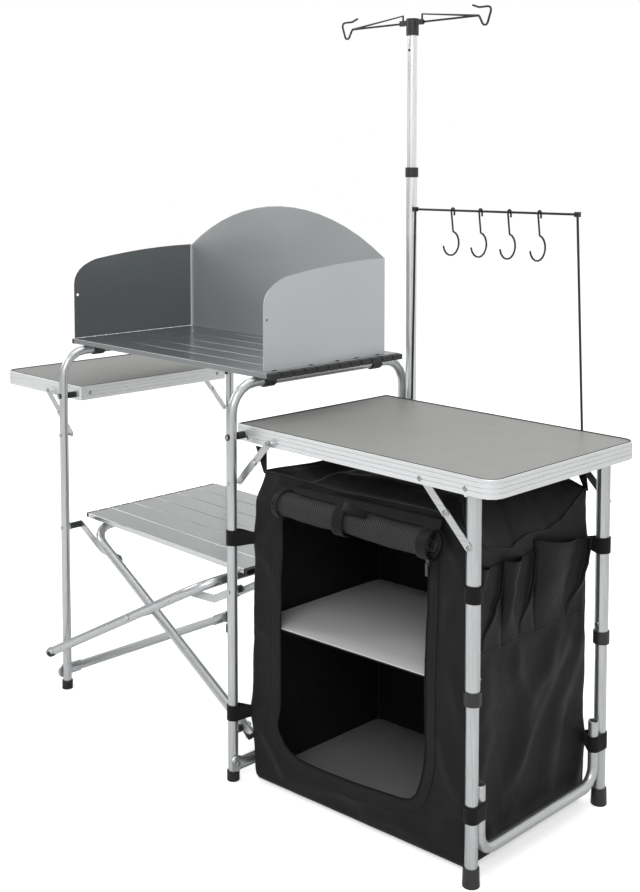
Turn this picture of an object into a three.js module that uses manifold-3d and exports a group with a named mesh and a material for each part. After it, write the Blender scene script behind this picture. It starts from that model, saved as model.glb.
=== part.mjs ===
// Folding camping kitchen table: two inverted-U frames joined by a scissor pair, a slatted cooking
// top with a three-leaf windscreen, a slatted lower shelf, a side table on each end, a soft cupboard
// under the right-hand table, a lantern pole with two wire arms and a rail with four hooks.
// Millimetres, +Z up. X runs along the object from the left table to the right one, -Y is the front.
// The dimensions are drawn about the middle of the central frames, and the whole is then moved so
// that the origin lies on the floor midway between the outer ends of the two tables.
import * as THREE from "three";
import { mergeVertices } from "three/addons/utils/BufferGeometryUtils.js";
import Module from "manifold-3d";

const wasm = await Module();
wasm.setup();

// Shared clearances and round-shape resolution
const SEAT_GAP = 0.3;
const RUN_GAP = 0.4;
const CUT_OVERRUN = 5;
const TUBE_SIDES = 12;
const WIRE_SIDES = 6;
const BORE_SIDES = 6;
const BEND_STEPS = 5;
const CORNER_STEPS = 3;
const LARGE_CORNER = 8;

// Central frames
const FRAME_HALF_SPAN = 283;
const FRAME_HALF_DEPTH = 234.5;
const FRAME_TUBE_RADIUS = 9.5;
const TUBE_WALL = 1.2;
const FRAME_BEND_RADIUS = 55;
const FOOT_RADIUS = 12;
const FOOT_HEIGHT = 18;
const FOOT_FLOOR = 4;
const RIVET_RADIUS = 4.2;
const RIVET_HEIGHT = 1.6;
const CLIP_LENGTH = 26;
const CLIP_WALL = 3;
const CLIP_SHARE = 0.8;

// Bottom rails of the central frames
const RAIL_HEIGHT = 35;
const RAIL_SPACER_RADIUS = 15;
const RAIL_SPACER_THICKNESS = 3;
const RAIL_FLAT_THICKNESS = 3;
const RAIL_FLAT_HEIGHT = 24;
const RAIL_TAPER_LENGTH = 34;

// Scissor pair
const CROSS_HEIGHT = 243;
const LEG_PIVOT_HEIGHT = 93;
const SCISSOR_SPACER = 10;
const SCISSOR_TAIL = 20;
const PIVOT_PIN_RADIUS = 4;
const PIVOT_SPACER_RADIUS = 7;
const PIVOT_SPACER_SEAT = 4;

// Lock links between the frames and the scissor pair
const LINK_LEG_HEIGHT = 360;
const LINK_REACH_X = 135;
const LINK_WIDTH = 15;
const LINK_THICKNESS = 2.5;
const LINK_PIN_RADIUS = 3;
const LINK_KNEE_LENGTH = 68;
const LINK_KNEE_RISE = 5;

// Slatted cooking top and lower shelf
const SLAT_COUNT = 6;
const TOP_HEIGHT = 766;
const TOP_HALF_LENGTH = 330;
const TOP_DEPTH = 365;
const TOP_THICKNESS = 11;
const SHELF_HEIGHT = 383;
const SHELF_LEFT = 281;
const SHELF_RIGHT = 263;
const SHELF_DEPTH = 362;
const SHELF_THICKNESS = 10;
const SLAT_WALL = 1.6;
const SLAT_SEAM = 0.8;
const END_STRIP_WIDTH = 9;
const END_STRIP_SEGMENTS = 12;
const END_STRIP_NOTCH = 3;

// Windscreen
const SCREEN_SHEET = 1.2;
const SCREEN_LEFT = 325;
const SCREEN_RIGHT = 303;
const SCREEN_REAR_Y = 153;
const SCREEN_FRONT_Y = 176;
const SCREEN_SIDE_HEIGHT = 195;
const SCREEN_FRONT_HEIGHT = 120;
const SCREEN_ARCH_HEIGHT = 293;
const SCREEN_CORNER_LENGTH = 58;
const SCREEN_SHOULDER_SHARE = 0.72;
const SCREEN_HINGE_RADIUS = 2;
const SCREEN_HINGE_OFFSET = 2;
const SCREEN_HOLE_RADIUS = 3.5;
const SCREEN_HOLE_INSET = 9;
const SCREEN_HOLE_HEIGHT = 96;
const SCREEN_SEAT_DEPTH = 0.4;
const SCREEN_SEAT_CLEARANCE = 0.8;

// Side tables
const TABLE_STEP_DOWN = 98;
const TABLE_SIDE_GAP = 29;
const TABLE_HEIGHT = TOP_HEIGHT - TABLE_STEP_DOWN;
const TABLE_DEPTH = 2 * (FRAME_HALF_DEPTH - TABLE_SIDE_GAP);
const TABLE_TUCK = 20;
const RIGHT_TABLE_LENGTH = 600;
const LEFT_TABLE_LENGTH = 315;
const TABLE_CORNER_RADIUS = 26;
const TABLE_SQUARE_RADIUS = 3;
const APRON_HEIGHT = 30;
const APRON_WALL = 3;
const APRON_GROOVE = 1.2;
const APRON_GROOVE_HEIGHT = 1.6;
const APRON_GROOVE_SHARES = [0.3, 0.56, 0.82];
const LEDGE_WIDTH = 10;
const LEDGE_THICKNESS = 2;
const BOARD_THICKNESS = 9.5;
const BOARD_SET_DOWN = 0.5;
const TABLE_PIVOT_DROP = 18;
const TABLE_PIVOT_HEIGHT = TABLE_HEIGHT - TABLE_PIVOT_DROP;
const TABLE_PIVOT_RADIUS = 3;
const BOLT_HEAD_RADIUS = 6;
const BOLT_HEAD_HEIGHT = 3;

// Folding stays
const STAY_WIDTH = 14;
const STAY_THICKNESS = 1.6;
const STAY_PIN_RADIUS = 2.5;
const STAY_LEG_DROP = 86;
const LEFT_STAY_REACH = 95;
const RIGHT_STAY_REACH = 78;
const LEG_STAY_REACH = 93;
const STAY_APRON_DROP = 22;
const STAY_APRON_HEIGHT = TABLE_HEIGHT - STAY_APRON_DROP;

// Right-hand legs
const LEG_INSET = 54;
const LEG_X = FRAME_HALF_SPAN - TABLE_TUCK + RIGHT_TABLE_LENGTH - LEG_INSET;
const LEG_SIDE_GAP = 23;
const LEG_HALF_DEPTH = TABLE_DEPTH / 2 - LEG_SIDE_GAP;
const LEG_UPPER_RADIUS = 12.5;
const LEG_LOWER_RADIUS = 11;
const LEG_WALL = 1;
const LEG_PIVOT_DROP = 30;
const LEG_PIVOT_Z = TABLE_HEIGHT - LEG_PIVOT_DROP;
const LEG_PIVOT_PIN_RADIUS = 4;
const LEG_TOP_EXTENSION = 10;
const LEG_UPPER_BOTTOM = 308;
const LEG_COLLAR_RADIUS = 15;
const LEG_COLLAR_HEIGHT = 22;
const LEG_LOWER_TOP = 455;
const LEG_FOOT_RADIUS = 14.5;
const LEG_FOOT_HEIGHT = 30;
const LEG_BUTTON_HEIGHT = 334;
const BUTTON_RADIUS = 4;
const BUTTON_STAND = 4;
const LEG_RAIL_HEIGHT = 45;
const LEG_RAIL_TOP = 160;
const LEG_RAIL_RADIUS = 9.5;
const LEG_RAIL_BEND = 32;

// Lantern pole
const POLE_OFFSET = 23;
const POLE_X = FRAME_HALF_SPAN + POLE_OFFSET;
const POLE_LOWER_RADIUS = 11;
const POLE_UPPER_RADIUS = 9.5;
const POLE_HANG = 103;
const POLE_BOTTOM = TABLE_HEIGHT - POLE_HANG;
const POLE_LOWER_TOP = 1145;
const POLE_COLLAR_RADIUS = 13.5;
const POLE_COLLAR_HEIGHT = 20;
const POLE_TOP = 1424;
const POLE_OVERLAP = 60;
const POLE_BUTTON_DROP = 39;
const CLAMP_DROP = 86;
const CLAMP_BOTTOM = TABLE_HEIGHT - CLAMP_DROP;
const CLAMP_HEIGHT = 46;
const CLAMP_WALL = 4;
const CLAMP_CORNER_SHARES = [0.6, 0.6, 0.6, 0.6];
const HUB_HEIGHT = 34;
const HUB_RADIUS = 13;
const HUB_EAR_LENGTH = 20;
const HUB_EAR_THICKNESS = 3;
const ARM_PIVOT_X = 26;
const ARM_PIVOT_RISE = 17;
const ARM_PIVOT_HEIGHT = POLE_TOP + ARM_PIVOT_RISE;
const ARM_WIRE_RADIUS = 2.2;
const ARM_BEND_RADIUS = 7;
const ARM_BEND_STEPS = 3;
const ARM_REACH = 205;
const ARM_HOOK_DROP = 30;
const ARM_HOOK_RISE = 16;
const ARM_EYE_RADIUS = 5.5;
const ARM_PIN_RADIUS = 2.5;

// Hook rail and S-hooks
const RAIL_INSET_LEFT = 46;
const RAIL_INSET_RIGHT = 65;
const RAIL_FOOT_LEFT = FRAME_HALF_SPAN + RAIL_INSET_LEFT;
const RAIL_FOOT_RIGHT = LEG_X - RAIL_INSET_RIGHT;
const RAIL_LEAN_LEFT = 7;
const RAIL_LEAN_RIGHT = 17;
const RAIL_STAND_OFF = 6.5;
const RAIL_RISE = 392;
const RAIL_HANG = 28;
const RAIL_PLANE_Y = TABLE_DEPTH / 2 + RAIL_STAND_OFF;
const RAIL_TOP_HEIGHT = TABLE_HEIGHT + RAIL_RISE;
const RAIL_BOTTOM = TABLE_HEIGHT - RAIL_HANG;
const RAIL_ROD_RADIUS = 2.5;
const RAIL_CLIP_WIDTH = 16;
const RAIL_CLIP_HEIGHT = 20;
const RAIL_ELBOW_SIZE = 9;
const HOOK_COUNT = 4;
const HOOK_INSET_LEFT = 106;
const HOOK_INSET_RIGHT = 100.5;
const HOOK_FIRST_X = RAIL_FOOT_LEFT + HOOK_INSET_LEFT;
const HOOK_LAST_X = RAIL_FOOT_RIGHT - HOOK_INSET_RIGHT;
const HOOK_PITCH = (HOOK_LAST_X - HOOK_FIRST_X) / (HOOK_COUNT - 1);
const HOOK_WIRE_RADIUS = 2;
const HOOK_DROP = 65;
const HOOK_BOWL_RADIUS = 24;
const HOOK_BOWL_START_SHARE = 0.42;
const HOOK_BOWL_TURN_SHARE = 1.36;
const HOOK_CROOK_STEPS = 5;
const HOOK_BOWL_STEPS = 12;
const HOOK_BACK_LEG = 10;

// Soft cupboard. Its plan is a skewed rectangle, so each end wall has its own front and rear corner.
const BAG_LEG_GAP_LEFT = 28;
const BAG_LEG_GAP_RIGHT = 25;
const BAG_LEFT = FRAME_HALF_SPAN + BAG_LEG_GAP_LEFT;
const BAG_RIGHT = LEG_X - BAG_LEG_GAP_RIGHT;
const BAG_CORNER_GAP = 26.5;
const BAG_LEFT_FRONT = BAG_CORNER_GAP - FRAME_HALF_DEPTH;
const BAG_LEFT_REAR = 132;
const BAG_LEG_GAP_FRONT = 19.5;
const BAG_LEG_GAP_REAR = 10.5;
const BAG_RIGHT_FRONT = BAG_LEG_GAP_FRONT - LEG_HALF_DEPTH;
const BAG_RIGHT_REAR = LEG_HALF_DEPTH - BAG_LEG_GAP_REAR;
const BAG_CORNER = 12;
const BAG_BOTTOM = 6;
const BAG_TOP_DROP = 82;
const BAG_CROWN_DROP = 54;
const BAG_TOP = TABLE_HEIGHT - BAG_TOP_DROP;
const BAG_CROWN = TABLE_HEIGHT - BAG_CROWN_DROP;
const BAG_CROWN_INSET = 70;
const BAG_WALL = 2.5;
const BAG_LEDGE_WIDTH = 8;
const DOOR_INSET_LEFT = 67;
const DOOR_INSET_RIGHT = 78;
const DOOR_LEFT = BAG_LEFT + DOOR_INSET_LEFT;
const DOOR_RIGHT = BAG_RIGHT - DOOR_INSET_RIGHT;
const DOOR_BOTTOM = 72;
const DOOR_HEAD = 50;
const DOOR_TOP = BAG_TOP - DOOR_HEAD;
const DOOR_CORNER = 55;
const DOOR_RIM_WIDTH = 9;
const DOOR_RIM_STAND = 2;
const ROLL_RADIUS = 24;
const ROLL_RISE = 9;
const ROLL_SHIFT_LEFT = 18;
const ROLL_SHIFT_RIGHT = 32;
const ROLL_LEFT = DOOR_LEFT + ROLL_SHIFT_LEFT;
const ROLL_RIGHT = DOOR_RIGHT + ROLL_SHIFT_RIGHT;
const ROLL_HEIGHT = DOOR_TOP + ROLL_RISE;
const ROLL_TIE_REACH = 164;
const ROLL_TIE_X = ROLL_LEFT + ROLL_TIE_REACH;
const ROLL_TIE_WIDTH = 24;
const ROLL_TIE_THICKNESS = 1.5;
const SHELF_BOARD_THICKNESS = 4;
const SHELF_BOARD_HEIGHT = 306;
const STRAP_THICKNESS = 2;
const STRAP_WIDTH = 28;
const STRAP_CORNER_SHARES = [0.5, 0.5, 0.5, 0.5];
const FRAME_STRAP_LOW = 130;
const FRAME_STRAP_DROP = 124;
const LEG_STRAP_LOW = 119;
const LEG_STRAP_DROP = 110;
const FRAME_STRAP_HEIGHTS = [FRAME_STRAP_LOW, BAG_TOP - FRAME_STRAP_DROP];
const LEG_STRAP_HEIGHTS = [LEG_STRAP_LOW, BAG_TOP - LEG_STRAP_DROP];
const POCKET_DEPTH = 8;
const POCKET_COUNT = 3;
const POCKET_DROP = 90;
const POCKET_TOP = BAG_TOP - POCKET_DROP;
const POCKET_HEIGHT = 190;
const POCKET_MARGIN = 12;

const colours = {
  aluminium: [0xc9cccc, 0.32, 0.9],
  slat: [0xb6b9ba, 0.3, 0.9],
  laminate: [0xaaaba3, 0.5, 0.1],
  sheet: [0x9fa6a6, 0.35, 0.85],
  plastic: [0x1c1c1d, 0.5, 0.0],
  wire: [0x26262a, 0.4, 0.3],
  fabric: [0x1b1b1d, 0.85, 0.0],
  board: [0x8a8a8c, 0.7, 0.0],
};
const root = new THREE.Group();

// A material of its own for each piece, from the table of finishes above.
function finish(kind) {
  const [color, roughness, metalness] = colours[kind];
  return new THREE.MeshStandardMaterial({ color, roughness, metalness });
}

// Position-only geometry turned into a solid that can be cut and joined.
function solid(geometry) {
  const bare = geometry.clone();
  for (const name of Object.keys(bare.attributes)) {
    if (name !== "position") bare.deleteAttribute(name);
  }
  const merged = mergeVertices(bare, 1e-4);
  return new wasm.Manifold(
    new wasm.Mesh({
      numProp: 3,
      vertProperties: new Float32Array(merged.attributes.position.array),
      triVerts: new Uint32Array(merged.index.array),
    }),
  );
}

// A cut or joined solid turned back into a geometry.
function geometryOf(made) {
  const { vertProperties, triVerts } = made.getMesh();
  const geometry = new THREE.BufferGeometry();
  geometry.setAttribute("position", new THREE.BufferAttribute(vertProperties, 3));
  geometry.setIndex(new THREE.BufferAttribute(triVerts, 1));
  geometry.computeVertexNormals();
  return geometry;
}

const join = (...parts) => parts.reduce((a, b) => a.add(b));
const cut = (from, ...parts) => parts.reduce((a, b) => a.subtract(b), from);

// Adds a piece to the object under its name.
function piece(name, made, kind) {
  const mesh = new THREE.Mesh(geometryOf(made), finish(kind));
  mesh.name = name;
  root.add(mesh);
}

// The points of a regular polygon that stands for a circle.
function ring(radius, sides) {
  return Array.from({ length: sides }, (_, i) => {
    const a = (2 * Math.PI * (i + 0.5)) / sides;
    return new THREE.Vector2(radius * Math.cos(a), radius * Math.sin(a));
  });
}

// A path given by its stations, so that a swept section stands exactly at each of them.
class StationPath extends THREE.Curve {
  constructor(stations) {
    super();
    this.stations = stations;
  }
  getPoint(t, target = new THREE.Vector3()) {
    const at = t * (this.stations.length - 1);
    const i = Math.min(Math.floor(at), this.stations.length - 2);
    return target.lerpVectors(this.stations[i], this.stations[i + 1], at - i);
  }
  getPointAt(u, target) {
    return this.getPoint(u, target);
  }
  getTangentAt(u, target = new THREE.Vector3()) {
    const last = this.stations.length - 1;
    const i = Math.round(u * last);
    const before = this.stations[Math.max(i - 1, 0)];
    const here = this.stations[i];
    const after = this.stations[Math.min(i + 1, last)];
    const into = here.clone().sub(before).normalize();
    const out = after.clone().sub(here).normalize();
    return target.copy(into.add(out)).normalize();
  }
  getSpacedPoints() {
    return this.stations;
  }
}

// Stations along a polyline whose corners are rounded with one radius.
function bentPath(corners, radius, steps = BEND_STEPS) {
  const stations = [corners[0]];
  for (let i = 1; i < corners.length - 1; i++) {
    const here = corners[i];
    const back = corners[i - 1].clone().sub(here).normalize();
    const on = corners[i + 1].clone().sub(here).normalize();
    const half = back.angleTo(on) / 2;
    const bisector = back.clone().add(on).normalize();
    const centre = here.clone().addScaledVector(bisector, radius / Math.sin(half));
    const turn = Math.PI - 2 * half;
    const start = here.clone().addScaledVector(back, radius / Math.tan(half)).sub(centre);
    const axis = on.clone().cross(back).normalize();
    for (let k = 0; k <= steps; k++) {
      const spoke = start.clone().applyAxisAngle(axis, (turn * k) / steps);
      stations.push(centre.clone().add(spoke));
    }
  }
  stations.push(corners[corners.length - 1]);
  return new StationPath(stations);
}

// A bar of round section along a path, or a tube with open ends where it has an inner radius.
function sweep(path, outer, inner = 0, sides = TUBE_SIDES, boreSides = BORE_SIDES) {
  const shape = new THREE.Shape(ring(outer, sides));
  if (inner > 0) shape.holes.push(new THREE.Path(ring(inner, boreSides).reverse()));
  const steps = path.stations.length - 1;
  return solid(new THREE.ExtrudeGeometry(shape, { steps, extrudePath: path }));
}

const v3 = (x, y, z) => new THREE.Vector3(x, y, z);

// A straight round bar between two points.
function rod(a, b, radius, sides = TUBE_SIDES, inner = 0) {
  return sweep(new StationPath([a, b]), radius, inner, sides, sides);
}

// A hole cutter whose flats clear a round pin of the given radius.
function holeCutter(a, b, radius, sides = WIRE_SIDES) {
  return rod(a, b, radius / Math.cos(Math.PI / sides), sides);
}

// A box from its lowest to its highest corner.
function block(low, high) {
  const size = high.clone().sub(low);
  const middle = low.clone().add(high).multiplyScalar(0.5);
  return solid(new THREE.BoxGeometry(size.x, size.y, size.z).translate(...middle));
}

// A flat plate: an outline in the XY plane, raised from one height to another.
function plate(shape, low, high, curveSegments = 6) {
  const geometry = new THREE.ExtrudeGeometry(shape, {
    depth: high - low,
    bevelEnabled: false,
    curveSegments,
  });
  return solid(geometry.translate(0, 0, low));
}

// The same for an outline drawn in XZ, with its thickness along Y from back to front.
function standing(shape, nearY, farY, curveSegments = 6) {
  const geometry = new THREE.ExtrudeGeometry(shape, {
    depth: farY - nearY,
    bevelEnabled: false,
    curveSegments,
  });
  return solid(geometry.rotateX(Math.PI / 2).translate(0, farY, 0));
}

// A rectangle whose four corners have their own radii, in the order left-front, right-front,
// right-rear, left-rear. Large corners get more steps than small ones.
function outline(x0, y0, x1, y1, radii) {
  const middles = [
    [x0 + radii[0], y0 + radii[0]],
    [x1 - radii[1], y0 + radii[1]],
    [x1 - radii[2], y1 - radii[2]],
    [x0 + radii[3], y1 - radii[3]],
  ];
  const points = middles.flatMap(([cx, cy], i) => {
    const r = radii[i];
    const steps = r > LARGE_CORNER ? CORNER_STEPS : 1;
    return Array.from({ length: steps + 1 }, (_, k) => {
      const a = Math.PI + (Math.PI / 2) * (i + k / steps);
      return new THREE.Vector2(cx + r * Math.cos(a), cy + r * Math.sin(a));
    });
  });
  return new THREE.Shape(points);
}

// A rivet head on a face that looks along Y.
function rivetY(x, y, z, side) {
  const tip = v3(x, y + side * RIVET_HEIGHT, z);
  return rod(v3(x, y - side * TUBE_WALL, z), tip, RIVET_RADIUS, WIRE_SIDES);
}

// Central frames: one bent tube each, with the bolts of the links, stays and scissor pair in its
// legs, plastic feet, and two clips on the top run that hold the slatted top.
const frameTopAxis = TOP_HEIGHT - TOP_THICKNESS - SEAT_GAP - FRAME_TUBE_RADIUS;
const legInner = FRAME_HALF_DEPTH - FRAME_TUBE_RADIUS;
const legOuter = FRAME_HALF_DEPTH + FRAME_TUBE_RADIUS;
const outerArmY = legOuter + SCISSOR_SPACER + FRAME_TUBE_RADIUS;
const innerArmY = legInner - SCISSOR_SPACER - FRAME_TUBE_RADIUS;
const stayPinHeight = TABLE_PIVOT_HEIGHT - STAY_LEG_DROP;
const tableHalf = TABLE_DEPTH / 2;
const tableGap = legInner - tableHalf;
const stayInnerY = tableHalf + tableGap / 2 - STAY_THICKNESS - SEAT_GAP / 2;
const stayOuterY = stayInnerY + STAY_THICKNESS + SEAT_GAP;
const tubeInner = FRAME_TUBE_RADIUS - TUBE_WALL;
const spacerSeat = FRAME_TUBE_RADIUS - PIVOT_SPACER_SEAT;
const leftLinkY = innerArmY - FRAME_TUBE_RADIUS - SEAT_GAP - LINK_THICKNESS;
const rightLinkY = legInner - SCISSOR_SPACER - LINK_THICKNESS;

function centralFrame(name, side) {
  const x = side * FRAME_HALF_SPAN;
  const path = bentPath(
    [
      v3(x, -FRAME_HALF_DEPTH, FOOT_FLOOR + SEAT_GAP),
      v3(x, -FRAME_HALF_DEPTH, frameTopAxis),
      v3(x, FRAME_HALF_DEPTH, frameTopAxis),
      v3(x, FRAME_HALF_DEPTH, FOOT_FLOOR + SEAT_GAP),
    ],
    FRAME_BEND_RADIUS,
  );
  let tube = sweep(path, FRAME_TUBE_RADIUS, tubeInner);
  const linkY = side < 0 ? leftLinkY : rightLinkY;
  for (const s of [-1, 1]) {
    const pivot = (z) => holeCutter(
      v3(x, s * (legInner - CUT_OVERRUN), z),
      v3(x, s * (legOuter + CUT_OVERRUN), z),
      TABLE_PIVOT_RADIUS + RUN_GAP,
    );
    tube = cut(tube, pivot(TABLE_PIVOT_HEIGHT));
    const stayPin = rod(
      v3(x, s * (stayInnerY + SEAT_GAP), stayPinHeight),
      v3(x, s * (legInner + TUBE_WALL), stayPinHeight),
      STAY_PIN_RADIUS,
      WIRE_SIDES,
    );
    const linkPin = rod(
      v3(x, s * (linkY + SEAT_GAP), LINK_LEG_HEIGHT),
      v3(x, s * (legInner + TUBE_WALL), LINK_LEG_HEIGHT),
      LINK_PIN_RADIUS,
      WIRE_SIDES,
    );
    const linkSpacer = rod(
      v3(x, s * (linkY + LINK_THICKNESS + SEAT_GAP), LINK_LEG_HEIGHT),
      v3(x, s * (FRAME_HALF_DEPTH - spacerSeat), LINK_LEG_HEIGHT),
      PIVOT_SPACER_RADIUS,
      WIRE_SIDES,
    );
    const armY = side < 0 ? outerArmY : innerArmY;
    const away = Math.sign(armY - FRAME_HALF_DEPTH);
    const armPin = rod(
      v3(x, s * (FRAME_HALF_DEPTH + away * tubeInner), LEG_PIVOT_HEIGHT),
      v3(x, s * (armY + away * (FRAME_TUBE_RADIUS + SEAT_GAP)), LEG_PIVOT_HEIGHT),
      PIVOT_PIN_RADIUS,
      WIRE_SIDES,
    );
    const armHead = rod(
      v3(x, s * (armY + away * (FRAME_TUBE_RADIUS + SEAT_GAP)), LEG_PIVOT_HEIGHT),
      v3(x, s * (armY + away * (FRAME_TUBE_RADIUS + SEAT_GAP + RIVET_HEIGHT)), LEG_PIVOT_HEIGHT),
      PIVOT_PIN_RADIUS + RIVET_HEIGHT,
      WIRE_SIDES,
    );
    const armSpacer = rod(
      v3(x, s * (FRAME_HALF_DEPTH + away * spacerSeat), LEG_PIVOT_HEIGHT),
      v3(x, s * (armY - away * (FRAME_TUBE_RADIUS + SEAT_GAP)), LEG_PIVOT_HEIGHT),
      PIVOT_SPACER_RADIUS,
      WIRE_SIDES,
    );
    const rivets = [stayPinHeight, LINK_LEG_HEIGHT].map((z) => rivetY(x, s * legOuter, z, s));
    tube = join(tube, stayPin, linkPin, linkSpacer, armPin, armHead, armSpacer, ...rivets);
  }
  const clipY = (CLIP_SHARE * TOP_DEPTH) / 2;
  const clipRadius = FRAME_TUBE_RADIUS + CLIP_WALL;
  const clipCeiling = TOP_HEIGHT - TOP_THICKNESS - SEAT_GAP;
  for (const s of [-1, 1]) {
    const middle = v3(x, s * clipY, frameTopAxis);
    const half = v3(0, CLIP_LENGTH / 2, 0);
    const sleeve = rod(middle.clone().sub(half), middle.clone().add(half), clipRadius);
    const shave = block(
      v3(x - 2 * clipRadius, s * clipY - CLIP_LENGTH, clipCeiling),
      v3(x + 2 * clipRadius, s * clipY + CLIP_LENGTH, clipCeiling + 2 * clipRadius),
    );
    const bore = rod(
      middle.clone().sub(half).sub(half),
      middle.clone().add(half).add(half),
      (tubeInner + FRAME_TUBE_RADIUS) / 2,
    );
    tube = join(tube, cut(sleeve, shave, bore));
  }
  piece(`${name}_frame_tube`, tube, "aluminium");
  for (const [s, end] of [[-1, "front"], [1, "rear"]]) {
    const y = s * FRAME_HALF_DEPTH;
    const boot = rod(v3(x, y, 0), v3(x, y, FOOT_HEIGHT), FOOT_RADIUS);
    const socket = holeCutter(
      v3(x, y, FOOT_FLOOR),
      v3(x, y, FOOT_HEIGHT + CUT_OVERRUN),
      FRAME_TUBE_RADIUS + SEAT_GAP,
      TUBE_SIDES,
    );
    piece(`${name}_frame_foot_${end}`, cut(boot, socket), "plastic");
  }
}

// Bottom rails: a tube between the two legs of a frame, pressed flat at both ends and bolted to the
// outer side of the legs over a round spacer.
function bottomRail(name, side) {
  const face = FRAME_HALF_SPAN + FRAME_TUBE_RADIUS + SEAT_GAP;
  const flatX = side * (face + RAIL_SPACER_THICKNESS + RAIL_FLAT_THICKNESS / 2);
  const flatHalf = RAIL_FLAT_THICKNESS / 2;
  const bodyHalf = legInner - RAIL_TAPER_LENGTH;
  const middle = rod(
    v3(flatX, -bodyHalf, RAIL_HEIGHT),
    v3(flatX, bodyHalf, RAIL_HEIGHT),
    FRAME_TUBE_RADIUS,
  );
  const parts = [middle];
  for (const s of [-1, 1]) {
    const y = s * FRAME_HALF_DEPTH;
    const span = RAIL_TAPER_LENGTH + FRAME_TUBE_RADIUS;
    const taper = taperedEnd(FRAME_TUBE_RADIUS, flatHalf, RAIL_FLAT_HEIGHT / 2, span);
    taper.scale(1, s, 1);
    taper.translate(flatX, s * bodyHalf, RAIL_HEIGHT);
    let end = solid(s > 0 ? taper : flipped(taper));
    const tongue = block(
      v3(flatX - flatHalf, Math.min(y, s * bodyHalf), RAIL_HEIGHT - RAIL_FLAT_HEIGHT / 2),
      v3(flatX + flatHalf, Math.max(y, s * bodyHalf), RAIL_HEIGHT + RAIL_FLAT_HEIGHT / 2),
    );
    const eye = rod(
      v3(flatX - flatHalf, y, RAIL_HEIGHT),
      v3(flatX + flatHalf, y, RAIL_HEIGHT),
      RAIL_FLAT_HEIGHT / 2,
    );
    const disc = rod(
      v3(side * face, y, RAIL_HEIGHT),
      v3(flatX, y, RAIL_HEIGHT),
      RAIL_SPACER_RADIUS,
    );
    const head = rod(
      v3(flatX, y, RAIL_HEIGHT),
      v3(flatX + side * (flatHalf + RIVET_HEIGHT), y, RAIL_HEIGHT),
      RIVET_RADIUS,
      WIRE_SIDES,
    );
    end = join(end, tongue, eye, disc, head);
    parts.push(end);
  }
  piece(`${name}_bottom_rail`, join(...parts), "aluminium");
}

// A short loft along +Y from a round section to a flat one of another height.
function taperedEnd(radius, flatHalf, flatHeight, length) {
  const sides = TUBE_SIDES;
  const round = ring(radius, sides);
  const flat = round.map((p) => {
    const share = p.y / radius;
    return new THREE.Vector2(Math.sign(p.x) * flatHalf, share * flatHeight);
  });
  const points = [];
  for (const p of round) points.push(v3(p.x, 0, p.y));
  for (const p of flat) points.push(v3(p.x, length, p.y));
  const faces = [];
  for (let i = 0; i < sides; i++) {
    const j = (i + 1) % sides;
    faces.push([i, j, sides + j], [i, sides + j, sides + i]);
  }
  for (let i = 1; i < sides - 1; i++) {
    faces.push([0, i + 1, i], [sides, sides + i, sides + i + 1]);
  }
  const geometry = new THREE.BufferGeometry().setFromPoints(points);
  geometry.setIndex(faces.map(([a, b, c]) => [a, c, b]).flat());
  return geometry;
}

// The same geometry with its faces turned round, for use after a mirroring scale.
function flipped(geometry) {
  const index = geometry.index.array;
  for (let i = 0; i < index.length; i += 3) {
    [index[i + 1], index[i + 2]] = [index[i + 2], index[i + 1]];
  }
  return geometry;
}

// Scissor pair: two bent tubes that cross at mid span. The outer one is pinned to the left legs and
// passes outside all four legs, the inner one is pinned to the right legs and runs inside them.
const armRise = (CROSS_HEIGHT - LEG_PIVOT_HEIGHT) / FRAME_HALF_SPAN;
const armAlong = Math.hypot(1, armRise);
const shelfSeat = SHELF_HEIGHT - SHELF_THICKNESS - SEAT_GAP;
const scissorTopX = (shelfSeat - FRAME_TUBE_RADIUS - CROSS_HEIGHT) / armRise;

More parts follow.
